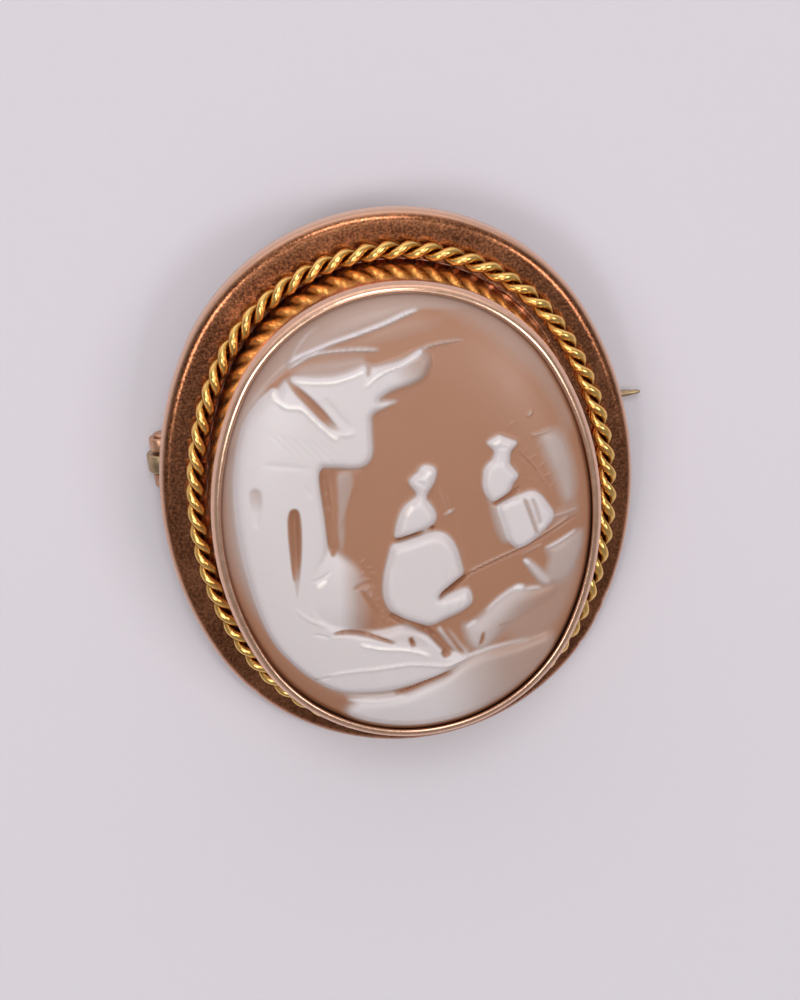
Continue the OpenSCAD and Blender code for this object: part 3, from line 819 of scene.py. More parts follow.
def carve_bush(carving):
    """The slope beside the door that runs down into the brown, its white thinning towards the brown and
    darkened as painted shade where it falls away, and the marks at its foot.
    """
    carving.plate([(-8.2, -0.2), (-5.5, -0.5), (-4.9, -0.9), (-4.2, -1.5), (-3.5, -2.1), (-3.0, -2.9),
                   (-2.5, -3.9), (-2.3, -5.0), (-2.4, -6.0), (-3.2, -6.5), (-4.6, -6.6), (-8.2, -6.4)],
                  height=0.46, edge=2.2, white=1.0, soft=0.9, fade=((-5.7, -4.6), (-1.9, -4.9), -0.06))
    carving.bar([(-3.8, -3.62), (-3.3, -3.4), (-2.8, -3.35)], width=0.10, rise=-0.10, white=0.1)
    carving.bar([(-3.4, -3.7), (-2.9, -4.5), (-2.4, -5.6)], width=0.10, rise=-0.10, white=-0.1)
    for x, y, turn in [(-3.1, -1.9, 30), (-2.75, -2.35, -10), (-3.2, -2.7, 50), (-2.5, -2.75, 15),
                       (-2.9, -3.1, -30), (-3.05, -3.75, 40), (-2.6, -3.7, -35), (-2.8, -4.2, 70),
                       (-2.35, -4.5, 30), (-2.5, -5.0, 80), (-2.1, -5.3, 40), (-2.2, -5.8, 60),
                       (-1.9, -6.1, 20), (-2.4, -6.2, 80)]:
        carving.mound((x, y), half=(0.24, 0.07), turn=turn, height=0.07, white=0.20)
    carving.bar([(-7.5, -4.6), (-6.9, -5.24), (-6.33, -5.6), (-5.5, -5.95)],
                width=0.12, rise=0.07, white=1.0)


def carve_front_figure(carving):
    """The nearer of the two figures on the path: bonnet, bodice and a wide skirt."""
    carving.plate([(0.45, 2.3), (0.15, 2.7), (0.03, 3.0), (0.32, 3.35), (0.64, 3.5), (0.78, 3.8),
                   (1.13, 3.95), (1.58, 3.82), (1.8, 3.5), (1.7, 3.04), (1.5, 2.6), (1.27, 2.33),
                   (1.08, 2.1), (1.0, 1.6), (0.45, 1.7), (0.46, 2.05)],
                  height=0.40, edge=0.34, white=1.0, soft=0.18)
    carving.plate([(0.6, 2.1), (0.1, 1.8), (-0.38, 1.45), (-0.73, 0.87), (-0.96, 0.2), (-1.12, -0.55),
                   (-0.5, -0.52), (0.08, -0.4), (0.68, -0.2), (1.22, -0.02), (1.52, 0.3), (1.6, 0.65),
                   (1.42, 1.2), (1.13, 1.62), (0.97, 1.9)], height=0.52, edge=0.5, white=1.0, soft=0.18)
    carving.plate([(-1.3, -0.9), (-0.52, -0.74), (0.52, -0.5), (1.4, -0.33), (2.0, -0.5), (2.45, -1.0),
                   (2.75, -1.75), (2.9, -2.66), (3.03, -3.35), (2.6, -3.7), (1.9, -4.2), (1.4, -4.65),
                   (2.0, -4.55), (2.6, -4.4), (3.14, -4.25), (3.42, -4.65), (3.47, -5.4), (2.7, -5.9),
                   (1.77, -6.2), (0.78, -6.66), (0.05, -6.38), (-0.9, -5.95), (-1.7, -5.35), (-2.0, -4.6),
                   (-2.05, -3.9), (-1.95, -2.98), (-1.72, -2.2), (-1.5, -1.5)],
                  height=0.58, edge=0.55, white=1.0, soft=0.18)
    # The cut at the waist and the pit beside it are painted darker than bare brown as shade
    carving.bar([(-1.1, -0.76), (-0.5, -0.63), (0.08, -0.47), (0.66, -0.33)],
                width=0.08, rise=-0.30, white=-0.25, taper=0.15)
    carving.bar([(0.6, -0.35), (1.1, -0.2)], width=0.06, rise=-0.12, white=0.6)
    carving.mound((1.27, -0.12), half=(0.16, 0.13), turn=0, height=-0.30, white=-0.3)
    carving.bar([(3.15, -3.55), (2.6, -3.92), (2.0, -4.33), (1.3, -4.8)],
                width=0.11, rise=-0.40, white=-0.2, taper=0.25)
    # Folds in the skirt, greyed partly by thinner white and partly as painted shade
    carving.bar([(1.85, -2.7), (1.9, -3.3), (2.0, -4.0)], width=0.12, rise=-0.07, white=0.85)
    carving.bar([(1.95, -4.8), (2.02, -5.3), (2.0, -5.9)], width=0.09, rise=-0.07, white=0.72)
    carving.bar([(2.8, -4.55), (2.75, -5.0), (2.6, -5.4)], width=0.07, rise=-0.06, white=0.85)
    carving.bar([(-1.15, -1.5), (-1.35, -3.0), (-1.2, -4.8)], width=0.22, rise=-0.05)
    carving.mound((3.0, -4.5), half=(0.22, 0.14), turn=20, height=0.10, white=1.0)
    # Painted highlights on the bodice and the bonnet (white above 1)
    carving.bar([(0.15, 1.55), (-0.1, 1.2), (-0.3, 0.85)], width=0.12, rise=0.10, white=1.30)
    carving.bar([(1.5, 3.55), (1.2, 3.35), (0.9, 3.0)], width=0.11, rise=0.09, white=1.28)
    carving.bar([(0.35, 3.0), (0.7, 2.95), (1.1, 2.6)], width=0.08, rise=-0.06, white=0.88)
    carving.bar([(1.95, 0.55), (2.3, 0.68), (2.75, 0.92)], width=0.06, rise=0.08, white=0.45)
    carving.bar([(1.78, 2.5), (1.92, 1.9), (2.15, 1.2), (2.25, 0.8)], width=0.05, rise=0.05, white=0.25)
    carving.bar([(2.15, 2.0), (2.35, 1.4), (2.45, 0.95)], width=0.04, rise=0.04, white=0.22)
    carving.mound((2.4, 0.78), half=(0.14, 0.12), turn=20, height=0.10, white=0.6)
    carving.bar([(2.75, 0.4), (2.9, -1.0), (3.05, -2.2), (3.15, -3.3)], width=0.05, rise=0.035, white=0.18)


def carve_rear_figure(carving):
    """The further figure: hat, bodice and a skirt with three folds."""
    carving.plate([(4.9, 4.8), (5.13, 5.0), (5.36, 5.07), (5.71, 5.25), (6.03, 5.08), (6.3, 4.93),
                   (6.92, 4.62), (6.68, 4.34), (6.4, 4.12), (6.32, 3.81), (6.3, 3.3), (5.1, 3.3),
                   (5.22, 3.75), (5.4, 4.12), (5.28, 4.42)], height=0.36, edge=0.30, white=0.97, soft=0.2)
    carving.plate([(5.3, 3.8), (4.75, 3.4), (4.58, 2.9), (4.5, 2.14), (4.65, 1.55), (5.05, 0.98),
                   (5.63, 1.2), (6.2, 1.58), (6.38, 2.04), (6.84, 2.48), (6.54, 2.95), (6.25, 3.35),
                   (6.2, 3.7)], height=0.44, edge=0.42, white=1.0, soft=0.2)
    carving.plate([(4.7, 1.4), (4.85, 0.9), (4.95, 0.0), (5.15, -0.8), (5.5, -1.75), (5.95, -1.8),
                   (5.85, -0.7), (5.7, 0.2), (5.5, 1.0)], height=0.20, edge=0.4, white=0.42, soft=0.5)
    carving.plate([(5.25, 0.85), (6.06, 1.12), (6.97, 1.36), (7.6, 1.46), (8.1, 1.1), (8.4, 0.63),
                   (8.9, -0.24), (8.72, -0.8), (8.2, -1.3), (7.71, -1.58), (7.24, -1.92), (6.77, -2.13),
                   (6.25, -2.1), (5.88, -1.6), (5.7, -0.87), (5.48, 0.0)],
                  height=0.48, edge=0.4, white=1.0, soft=0.2)
    # Folds in the skirt, greyed partly by thinner white and partly as painted shade
    carving.bar([(6.98, 1.2), (7.2, 0.5), (7.4, -0.2), (7.72, -1.4)],
                width=0.13, rise=-0.17, white=0.42, taper=0.12)
    carving.bar([(7.5, 1.1), (7.75, 0.3), (7.95, -0.8)], width=0.13, rise=-0.12, white=0.55, taper=0.12)
    carving.bar([(5.0, 0.88), (5.6, 1.06), (6.2, 1.36), (6.8, 1.7)],
                width=0.10, rise=-0.22, white=-0.1, taper=0.2)
    # Painted highlight on the hat (white above 1)
    carving.bar([(5.25, 4.75), (5.6, 4.8), (5.85, 5.05)], width=0.10, rise=0.09, white=1.28)
    carving.bar([(5.45, 4.4), (5.8, 4.5), (6.2, 4.4)], width=0.07, rise=-0.05, white=0.85)
    # Faint painted highlight below the waist (white just above 1)
    carving.bar([(5.5, 0.8), (6.2, 0.98), (6.8, 1.15)], width=0.09, rise=0.07, white=1.05)
    carving.bar([(6.75, 4.2), (7.4, 3.4), (8.0, 2.6), (8.5, 1.7), (8.95, 0.6)],
                width=0.06, rise=0.05, white=0.16)
    carving.bar([(6.85, 4.05), (7.5, 3.2), (8.1, 2.4)], width=0.05, rise=-0.05, white=-0.2)


def carve_bridge(carving):
    """The plank between the figures, the far tree, and the bank below."""
    carving.plate([(8.1, 4.6), (8.8, 5.1), (9.7, 4.8), (10.3, 3.2), (10.5, 1.2), (10.1, -0.1), (9.5, 0.2),
                   (9.1, 1.6), (8.6, 3.2)], height=0.08, edge=0.9, white=0.46, soft=1.1)
    carving.bar([(7.7, 4.85), (8.3, 4.87), (9.05, 4.98)], width=0.07, rise=0.07, white=0.35)
    for x, y, turn in [(7.3, 3.9, 50), (7.8, 3.5, 20), (8.2, 3.9, 70), (7.6, 2.9, 110), (8.3, 2.9, 40),
                       (8.6, 2.2, 10), (7.2, 3.3, 80), (7.5, 2.1, 140), (8.9, 1.5, 30), (7.9, 1.9, 60)]:
        carving.mound((x, y), half=(0.36, 0.09), turn=turn, height=0.02, white=0.10)
    carving.bar([(7.6, 6.03), (7.95, 6.4)], width=0.07, rise=0.08, white=0.5)
    carving.bar([(6.3, 5.5), (6.65, 5.86)], width=0.05, rise=0.04, white=0.18)
    carving.plate([(8.7, -0.2), (9.6, 0.2), (10.6, 0.2), (10.6, -1.0), (9.6, -1.3), (8.6, -1.2)],
                  height=0.04, edge=0.6, white=0.18, soft=0.7)
    carving.bar([(1.3, -4.75), (2.2, -4.07), (3.12, -3.55), (4.33, -3.1), (5.85, -2.6), (6.77, -2.28),
                 (8.0, -1.78), (8.95, -1.34), (9.9, -0.92), (10.5, -0.7)],
                width=0.07, rise=-0.09, white=-0.16, taper=0.25)
    carving.bar([(3.2, -3.36), (4.33, -2.9), (5.85, -2.4), (6.77, -2.08), (8.0, -1.58), (8.95, -1.14),
                 (9.8, -0.72)], width=0.07, rise=0.09, white=0.24, taper=0.06)
    carving.bar([(8.83, -0.5), (9.6, -0.45), (10.4, -0.3)], width=0.07, rise=0.09, white=0.42)
    carving.bar([(6.5, -2.75), (7.3, -2.4), (8.1, -2.2)], width=0.07, rise=0.06, white=0.25)
    carving.plate([(8.12, -2.55), (8.9, -2.35), (9.53, -2.08), (10.1, -1.8), (10.8, -1.7), (10.8, -2.8),
                   (10.3, -3.8), (9.75, -4.7), (8.9, -5.2), (8.2, -4.9), (8.1, -3.9), (8.4, -3.2)],
                  height=0.15, edge=0.7, white=0.44, soft=0.7)
    carving.bar([(8.12, -2.53), (8.9, -2.3), (9.53, -2.04), (10.3, -1.7)],
                width=0.10, rise=0.13, white=0.75)
    carving.plate([(6.7, -3.05), (7.15, -3.02), (7.6, -3.45), (8.0, -3.95), (8.5, -4.8), (8.3, -5.1),
                   (7.8, -4.8), (7.2, -3.95)], height=0.22, edge=0.35, white=0.62, soft=0.35)
    carving.mound((6.98, -3.15), half=(0.26, 0.16), turn=-40, height=0.12, white=0.95)
    carving.plate([(2.7, -6.75), (3.23, -6.8), (4.16, -6.1), (4.95, -5.4), (5.72, -4.95), (6.34, -4.65),
                   (6.94, -4.9), (7.84, -5.0), (8.9, -4.9), (9.0, -5.7), (7.8, -6.3), (6.4, -6.9),
                   (5.4, -7.5), (4.8, -8.2), (4.3, -8.8), (3.4, -8.8), (2.9, -7.8)],
                  height=0.26, edge=1.4, white=0.66, soft=0.9, fade=((4.6, -5.8), (6.8, -7.4), 0.24))
    carving.bar([(4.2, -6.15), (5.0, -5.45), (5.75, -4.98), (6.35, -4.75), (6.8, -4.98)],
                width=0.12, rise=0.08, white=0.72, taper=0.3)
    # Painted highlight on the bank's crest (white above 1)
    carving.bar([(6.1, -4.85), (6.4, -4.75), (6.7, -4.9)], width=0.11, rise=0.12, white=1.3)
    carving.bar([(6.8, -5.0), (7.3, -5.0), (7.8, -5.1)], width=0.08, rise=0.07, white=0.70)
    carving.mound((3.3, -6.85), half=(0.40, 0.16), turn=30, height=0.07, white=0.8)
    carving.bar([(4.9, -7.15), (5.6, -6.98), (6.3, -6.85)], width=0.08, rise=0.06, white=0.30)
    carving.bar([(4.0, -7.45), (3.92, -7.9), (3.74, -8.4)], width=0.08, rise=-0.18, white=-0.1)


def carve_ground(carving):
    """The path under the figures, the bank in front of it and the cuts between them."""
    carving.plate([(1.0, -6.75), (1.6, -6.75), (2.1, -7.3), (2.6, -8.2), (3.2, -8.9), (2.6, -9.1),
                   (2.0, -8.4), (1.5, -7.6)], height=0.32, edge=0.35, white=0.66, soft=0.22)
    carving.bar([(-1.7, -5.6), (-0.89, -6.2), (-0.17, -6.56), (0.61, -6.98), (1.09, -7.62), (1.58, -8.3),
                 (1.9, -8.75)], width=0.15, rise=-0.30, white=-0.15, taper=0.06)
    carving.bar([(1.45, -6.7), (1.9, -7.47), (2.4, -8.4), (2.7, -8.8)],
                width=0.09, rise=-0.22, white=-0.05, taper=0.12)
    carving.plate([(-4.4, -11.5), (-2.4, -11.45), (-1.0, -11.25), (0.0, -10.8), (1.2, -10.35),
                   (1.9, -9.95), (2.5, -9.35), (3.4, -9.0), (4.4, -8.8), (5.6, -8.7), (7.0, -8.5),
                   (8.6, -8.2), (9.0, -9.6), (8.2, -12.0), (6.2, -14.2), (3.4, -15.0), (1.5, -15.4),
                   (-0.5, -15.4), (-3.3, -14.6), (-5.2, -12.8)],
                  height=0.42, edge=0.8, white=0.84, soft=0.9, fade=((-0.5, -10.8), (6.8, -9.6), 0.30))
    carving.bar([(-6.7, -9.75), (-6.0, -9.44), (-4.92, -9.23), (-3.9, -9.15), (-2.95, -9.13),
                 (-1.8, -9.05), (-0.68, -8.98), (0.5, -9.2), (1.6, -9.42), (2.5, -9.17), (3.42, -8.93),
                 (4.34, -8.7), (5.56, -8.56), (6.9, -8.5)], width=0.11, rise=0.13, white=0.8, taper=0.3)
    # Painted highlight along the edge of the path (white above 1)
    carving.bar([(-3.7, -7.3), (-2.85, -7.61), (-2.0, -7.8), (-1.04, -7.9), (-0.15, -8.15), (0.6, -8.6)],
                width=0.10, rise=0.15, white=1.30, taper=0.12)
    carving.bar([(-6.8, -9.9), (-6.3, -9.6), (-5.6, -9.42)], width=0.08, rise=-0.12, white=0.55)
    carving.plate([(-3.4, -6.7), (-2.6, -6.6), (-1.8, -6.5), (-0.8, -6.3), (-0.2, -6.7), (0.3, -7.3),
                   (0.8, -8.1), (-0.2, -7.9), (-1.2, -7.5), (-2.2, -7.1)],
                  height=-0.06, edge=0.4, white=0.72, soft=0.4)
    carving.bar([(-5.35, -6.5), (-4.72, -6.43), (-3.89, -6.55), (-3.07, -6.8), (-2.25, -7.13),
                 (-1.5, -7.5)], width=0.10, rise=-0.25, white=-0.05, taper=0.15)
    carving.bar([(-6.55, -6.4), (-6.0, -6.5), (-5.5, -6.7)], width=0.07, rise=-0.08, white=0.78)
    carving.bar([(-0.6, -7.15), (-0.5, -7.45), (-0.4, -7.85)], width=0.10, rise=-0.28, white=-0.3)
    carving.bar([(1.32, -8.35), (1.45, -8.55), (1.6, -8.85)], width=0.11, rise=-0.28, white=-0.3)
    # Painted shadow: a soft grey band along the front ground beside the dark cut
    carving.bar([(-4.9, -11.05), (-3.9, -11.15), (-2.9, -11.25), (-2.1, -11.25), (-1.2, -11.1)],
                width=0.17, rise=-0.14, white=0.50, taper=0.25)
    # A dark cut along the front bank, painted darker than bare brown as shade
    carving.bar([(-1.8, -11.2), (-1.1, -11.08), (-0.5, -10.88), (0.0, -10.66), (0.95, -10.33),
                 (1.85, -10.02)], width=0.08, rise=-0.24, white=-0.1, taper=0.15)
    carving.bar([(-4.8, -11.45), (-3.5, -11.65), (-2.2, -11.6), (-1.1, -11.4)],
                width=0.12, rise=0.08, white=0.95)
    carving.bar([(-3.25, -9.5), (-3.05, -9.9), (-2.85, -10.3)], width=0.06, rise=-0.03, white=0.9)
    carving.mound((-3.5, -7.95), half=(0.14, 0.08), turn=0, height=-0.08, white=0.7)


# The parts of the scene in the order of carving: later ones cover the white of earlier ones
CARVERS = [carve_sky, carve_band, carve_bush, carve_cottage, carve_treetop, carve_bridge, carve_ground,
           carve_front_figure, carve_rear_figure]

# Faces across and up the shell's grid
COLUMNS, ROWS = 272, 300
# Share of the dome that falls off steeply at its edge, and the power of that fall
STEEP_SHARE, STEEP_POWER = 0.45, 8
# Widths in mm in from the edge: of the carving's end, of the white layer's thinning, partly wear and partly
# painted shade from the lip, and of the painted shade in the seam
CARVED_EDGE, WORN_EDGE, SEAM_WIDTH = 0.9, 1.1, 0.55
WORN_WHITE = 0.75
# Painted shade in the seam by the rim, darkest towards the lower right: its middle direction, how even it
# is all round, and its depth
SEAM_SIDE, SEAM_EVEN, SEAM_SWING, SEAM_DEPTH = math.radians(-50), 0.4, 0.8, 2
# Rings that shape the hollow back
BACK_RINGS = 7


def softened(values, times):
    """The values on the shell's grid, evened out between neighbours."""
    grid = values.reshape(ROWS + 1, COLUMNS + 1)
    for _ in range(2 * times):
        wide = np.pad(grid, ((1, 1), (0, 0)), mode="edge")
        grid = (0.5 * grid + 0.25 * (wide[:-2] + wide[2:])).T
    return grid.ravel()


class BROOCH_OT_cameo(bpy.types.Operator):
    """Carve the shell: a dome with the scene in its white layer, hollow behind."""

    bl_idname = "brooch.cameo"
    bl_label = "Cameo"

    def execute(self, context):
        places = Places(context.scene)
        pick()
        bpy.ops.mesh.primitive_grid_add(x_subdivisions=COLUMNS, y_subdivisions=ROWS, size=2)
        shell = named("cameo_shell")
        points = read_points(shell.data)
        front = len(points)
        u, v = points[:, 0].copy(), points[:, 1].copy()
        x, y = u * np.sqrt(1 - v**2 / 2), v * np.sqrt(1 - u**2 / 2)
        n, angle = np.minimum(np.hypot(x, y), 1), np.arctan2(y, x)
        reach = places.outline.edge(angle, places.cameo_in) * n
        points[:, 0], points[:, 1] = reach * np.cos(angle), reach * np.sin(angle)
        carving = Carving(points[:, 0] / MM, points[:, 1] / MM)
        for carve in CARVERS:
            carve(carving)
        half = places.sheet.width / 2 - places.cameo_in
        inward = (1 - n) * half / MM
        bowl = (1 - STEEP_SHARE) * (1 - n**2) + STEEP_SHARE * (1 - n**STEEP_POWER)
        carved = (softened(carving.height, times=3) + carving.lines) * np.clip(inward / CARVED_EDGE, 0, 1)
        points[:, 2] = places.cameo_edge + places.cameo.dome * bowl + carved * MM
        shell.data.vertices.foreach_set("co", points.ravel())
        shell.data.update()
        self.hollow(shell, places.cameo, half)
        values = np.zeros(len(shell.data.vertices))
        values[:front] = self.layers(carving.white, inward, angle)
        note(shell.data, "white_layer", values)
        put_down(shell, [carved_shell(places.colours)], places.oval, "brooch_body", "cameo",
                 sharp=60)
        return {"FINISHED"}

    def layers(self, white, inward, angle):
        """The white layer, thinned towards the edge by wear and by painted shade from the lip, and the
        seam's painted shade below 0.
        """
        # The white thins towards the edge: partly wear, partly painted shade from the lip
        worn = WORN_WHITE + (1 - WORN_WHITE) * np.clip(inward / WORN_EDGE, 0, 1)
        # Painted shade along the seam, strongest towards SEAM_SIDE and fading out over SEAM_WIDTH
        seam = np.clip(1 - inward / SEAM_WIDTH, 0, 1)
        seam *= np.clip(SEAM_EVEN + SEAM_SWING * np.cos(angle - SEAM_SIDE), 0, 1)
        return softened(np.where(white > 0, white * worn, white), times=1) - SEAM_DEPTH * seam

    def hollow(self, shell, sizes, half):
        """Draws the edge down and the back in, ring by ring, to a closed middle."""
        bpy.ops.object.mode_set(mode="EDIT")
        bpy.ops.mesh.select_all(action="DESELECT")
        bpy.ops.mesh.select_non_manifold()
        bpy.ops.mesh.extrude_region_move(TRANSFORM_OT_translate={"value": (0, 0, -sizes.edge)})
        border = 1 - sizes.back_border / half
        last, raised = 1.0, 0.0
        for i in range(BACK_RINGS):
            turn = math.pi / 2 * i / BACK_RINGS
            share, rise = border * math.cos(turn), sizes.back_rise * math.sin(turn)
            bpy.ops.mesh.extrude_region_move(TRANSFORM_OT_translate={"value": (0, 0, rise - raised)})
            bpy.ops.transform.resize(value=(share / last, share / last, 1), center_override=(0, 0, 0))
            last, raised = share, rise
        bpy.ops.mesh.extrude_region_move(TRANSFORM_OT_translate={"value": (0, 0, sizes.back_rise - raised)})
        bpy.ops.mesh.merge(type="CENTER")
        close_up(shell)


class BROOCH_OT_sheet(bpy.types.Operator):
    """Sweep the frame's section round the oval: rim, flange, collar, lip and ledge."""

    bl_idname = "brooch.sheet"
    bl_label = "Sheet frame"

    # Steps of the sweep along a side arc and along an end arc
    SIDE_STEPS, END_STEPS = 90, 150
    # Radii of the rim's lower edge and of the root of the collar
    FOOT, ROOT = 0.08 * MM, 0.1 * MM
    # Dents in the flange's edge: direction in degrees, half width and depth in mm
    NICKS = [(-34.6, 0.22, 0.07), (-36.2, 0.20, 0.08), (-40.2, 0.25, 0.06), (-47.6, 0.20, 0.06),
             (-128.0, 0.25, 0.05)]
    # How far in a dent reaches, and its share that bends the flange's edge down, and how far in
    NICK_REACH, NICK_DROP, NICK_DROP_REACH = 0.35 * MM, 0.8, 0.8 * MM
    # A face is the collar's above this height, and behind or in front by which way it faces
    COLLAR_FOOT, COLLAR_FACING, FLANGE_FACING, RIM = 0.02 * MM, 0.3, 0.1, 0.05 * MM

    def section(self, sheet, places):
        """The section as distance in from the edge and height."""
        slope = math.degrees(sheet.lip_slope)
        lip_w = places.nose.x - sheet.collar_inset
        lip_h = places.nose.y + sheet.lip_sheet / 2 - sheet.collar_height + sheet.bend
        lip_foot = Vector((places.nose.x, sheet.collar_height - sheet.bend))
        ledge, ledge_under = places.wall_in + sheet.ledge, places.ledge - sheet.ledge_sheet
        corners = [
            (places.wall_in, places.ledge), (ledge, places.ledge), (ledge, ledge_under),
            (places.wall_in, ledge_under - sheet.ledge), (places.wall_in, -sheet.sheet),
            (sheet.sheet, -sheet.sheet), (sheet.sheet, -sheet.rim_depth),
        ]
        return (
            arc((self.FOOT, -sheet.rim_depth + self.FOOT), self.FOOT, 270, 180, 3)
            + arc((sheet.rim_round, -sheet.rim_round), sheet.rim_round, 180, 90, 8)
            + [Vector((sheet.collar_inset * k / 8, 0)) for k in range(3, 8)]
            + arc((sheet.collar_inset - self.ROOT, self.ROOT), self.ROOT, 270, 360, 3)
            + [Vector((sheet.collar_inset, sheet.collar_height * k / 6)) for k in range(1, 6)]
            + [lip_foot + Vector((lip_w * p.x, lip_h * p.y)) for p in arc((0, 0), 1, 180, 92, 9)]
            + arc(places.nose, sheet.lip_sheet / 2, 90, slope - 90, 7)
            + [places.lip_root] + [Vector(corner) for corner in corners]
        )

    def execute(self, context):
        places = Places(context.scene)
        sheet, oval = places.sheet, places.outline
        centre, radius, first, _ = oval.arcs()[0]
        out = Vector((math.cos(first), math.sin(first), 0))
        outline = [centre + (radius - p.x) * out + Vector((0, 0, p.y)) for p in self.section(sheet, places)]
        piece = draw_line("frame_sheet", outline, True)
        for index, (centre, _, _, sweep) in enumerate(oval.arcs()):
            steps = self.END_STEPS if index % 2 else self.SIDE_STEPS
            bpy.ops.mesh.spin(steps=steps, angle=sweep, center=centre, axis=(0, 0, -1))
        close_up(piece)
        self.wear(piece.data, oval, sheet)
        self.paint(piece.data, oval, sheet)
        finishes = [finish(places.colours) for finish in (flange_gold, collar_gold, back_gold)]
        put_down(piece, finishes, places.oval, "brooch_body", "frame")
        return {"FINISHED"}

    def wear(self, mesh, oval, sheet):
        """Dents the edge, and notes how far in every point lies."""
        points = read_points(mesh)
        angle = np.arctan2(points[:, 1], points[:, 0])
        away = np.hypot(points[:, 0], points[:, 1])
        inward = oval.edge(angle, 0) - away
        for direction, width, depth in self.NICKS:
            turned_by = (angle - math.radians(direction) + math.pi) % (2 * math.pi) - math.pi
            near = np.exp(-((turned_by * away / (width * MM)) ** 2)) * np.exp(-inward / self.NICK_REACH)
            push = depth * MM * near * (points[:, 2] > -sheet.rim_depth / 2)
            points[:, :2] *= (1 - push / away)[:, None]
            points[:, 2] -= self.NICK_DROP * push * (inward < self.NICK_DROP_REACH)
        mesh.vertices.foreach_set("co", points.ravel())
        note(mesh, "inward", np.clip(inward / sheet.collar_inset, 0, 2))

    def paint(self, mesh, oval, sheet):
        """Gives flange, collar and back their own finishes, by place and facing."""
        for face in mesh.polygons:
            x, y, z = face.center
            inward = float(oval.edge(math.atan2(y, x), 0)) - math.hypot(x, y)
            shown = (face.normal.x * x + face.normal.y * y) > 0 or face.normal.z > self.COLLAR_FACING
            if z > self.COLLAR_FOOT and inward > sheet.collar_inset / 2 and shown:
                face.material_index = 1
            elif inward < sheet.collar_inset and (face.normal.z > self.FLANGE_FACING or inward < self.RIM):
                face.material_index = 0
            else:
                face.material_index = 2


class BROOCH_OT_rope(bpy.types.Operator):
    """Wind the two wires of the border round each other, left-handed."""

    bl_idname = "brooch.rope"
    bl_label = "Twisted wire"

    # Points of a wire in one turn of the twist, and how finely its section is rounded
    STEPS, SIDES = 22, 5

    def execute(self, context):
        places = Places(context.scene)
        sheet, rope = places.sheet, places.rope
        finish = rope_gold(places.colours)
        radius = rope.wire + rope.gap / 2
        inset = sheet.collar_inset - rope.gap - radius - math.hypot(rope.right, rope.drop)
        path = places.outline.path(inset, rope.turns * self.STEPS)
        wind = radius - rope.wire / 2
        middle = Vector((rope.right, -rope.drop, rope.gap + radius))
        for number in (1, 2):
            curve = bpy.data.curves.new(f"rope_wire_{number}", "CURVE")
            curve.dimensions = "3D"
            curve.bevel_depth = rope.wire / 2
            curve.bevel_resolution = self.SIDES
            line = curve.splines.new("POLY")
            line.points.add(len(path) - 1)
            line.use_cyclic_u = True
            for i, (centre, out) in enumerate(path):
                turn = math.pi * (number - 1) + 2 * math.pi * i / self.STEPS
                away = math.cos(turn) * out + math.sin(turn) * Vector((0, 0, 1))
                line.points[i].co = (*(centre + middle + wind * away), 1)
            strand = bpy.data.objects.new(f"rope_wire_{number}", curve)
            context.scene.collection.objects.link(strand)
            pick(strand)
            bpy.ops.object.convert(target="MESH")
            strand = bpy.context.object
            self.mark_crowns(strand.data, path, middle, radius)
            put_down(strand, [finish], places.oval, "brooch_body",
                     f"rope_strand_{number}", sharp=80)
        return {"FINISHED"}

    def mark_crowns(self, mesh, path, middle, radius):
        """Notes how far from the rope's middle each point of a wire lies."""
        rings = read_points(mesh).reshape(len(path), -1, 3)
        middles = np.array([centre + middle for centre, _ in path])[:, None, :]
        note(mesh, "crown", (np.linalg.norm(rings - middles, axis=2) / radius).ravel())


class BROOCH_OT_hinge(bpy.types.Operator):
    """Make the hinge's two ears and the rivet through them."""

    bl_idname = "brooch.hinge"
    bl_label = "Hinge"

    # The rivet's domed head, as shares of its radius and thickness
    CAP = [(0, 1), (0.55, 1), (0.85, 0.8), (1, 0.45), (1, 0)]
    # Radius of the edges of an ear's foot
    FOOT_SOFT = 0.05 * MM

    def execute(self, context):
        places = Places(context.scene)
        pin, finish = places.pin, back_gold(places.colours)
        step = pin.head_width / 2 + pin.ear_gap
        half, r = pin.ear_width / 2, pin.ear / 2
        ears = []
        for side in (-1, 1):
            middle = places.rivet + Vector((0, side * (step + half), 0))
            ear = washer(f"ear_{side}", middle, pin.ear_width, places.bore, r, soft_steps=3, steps=40)
            low = middle + Vector((places.bore, -half + SOFT / 2, 0))
            high = Vector((middle.x + r, middle.y + half - SOFT / 2, places.solder_z))
            ears.append(soldered(ear, block("foot", low, high, self.FOOT_SOFT)))
        pick(*ears)
        bpy.ops.object.join()
        put_down(named("hinge_ears"), [finish], places.brooch, "brooch_body", "frame")
        reach = step + pin.ear_width + pin.rivet_gap
        cap = [(pin.rivet_head / 2 * r, reach + pin.rivet_sheet * t) for r, t in self.CAP]
        cap.append((pin.rivet / 2, reach))
        outline = cap + [(r, -t) for r, t in reversed(cap)]
        rivet = turned("rivet_turned", outline, places.rivet, (0, 1, 0), steps=32)
        put_down(rivet, [finish], places.brooch, "brooch_body", "hinge_rivet")
        return {"FINISHED"}


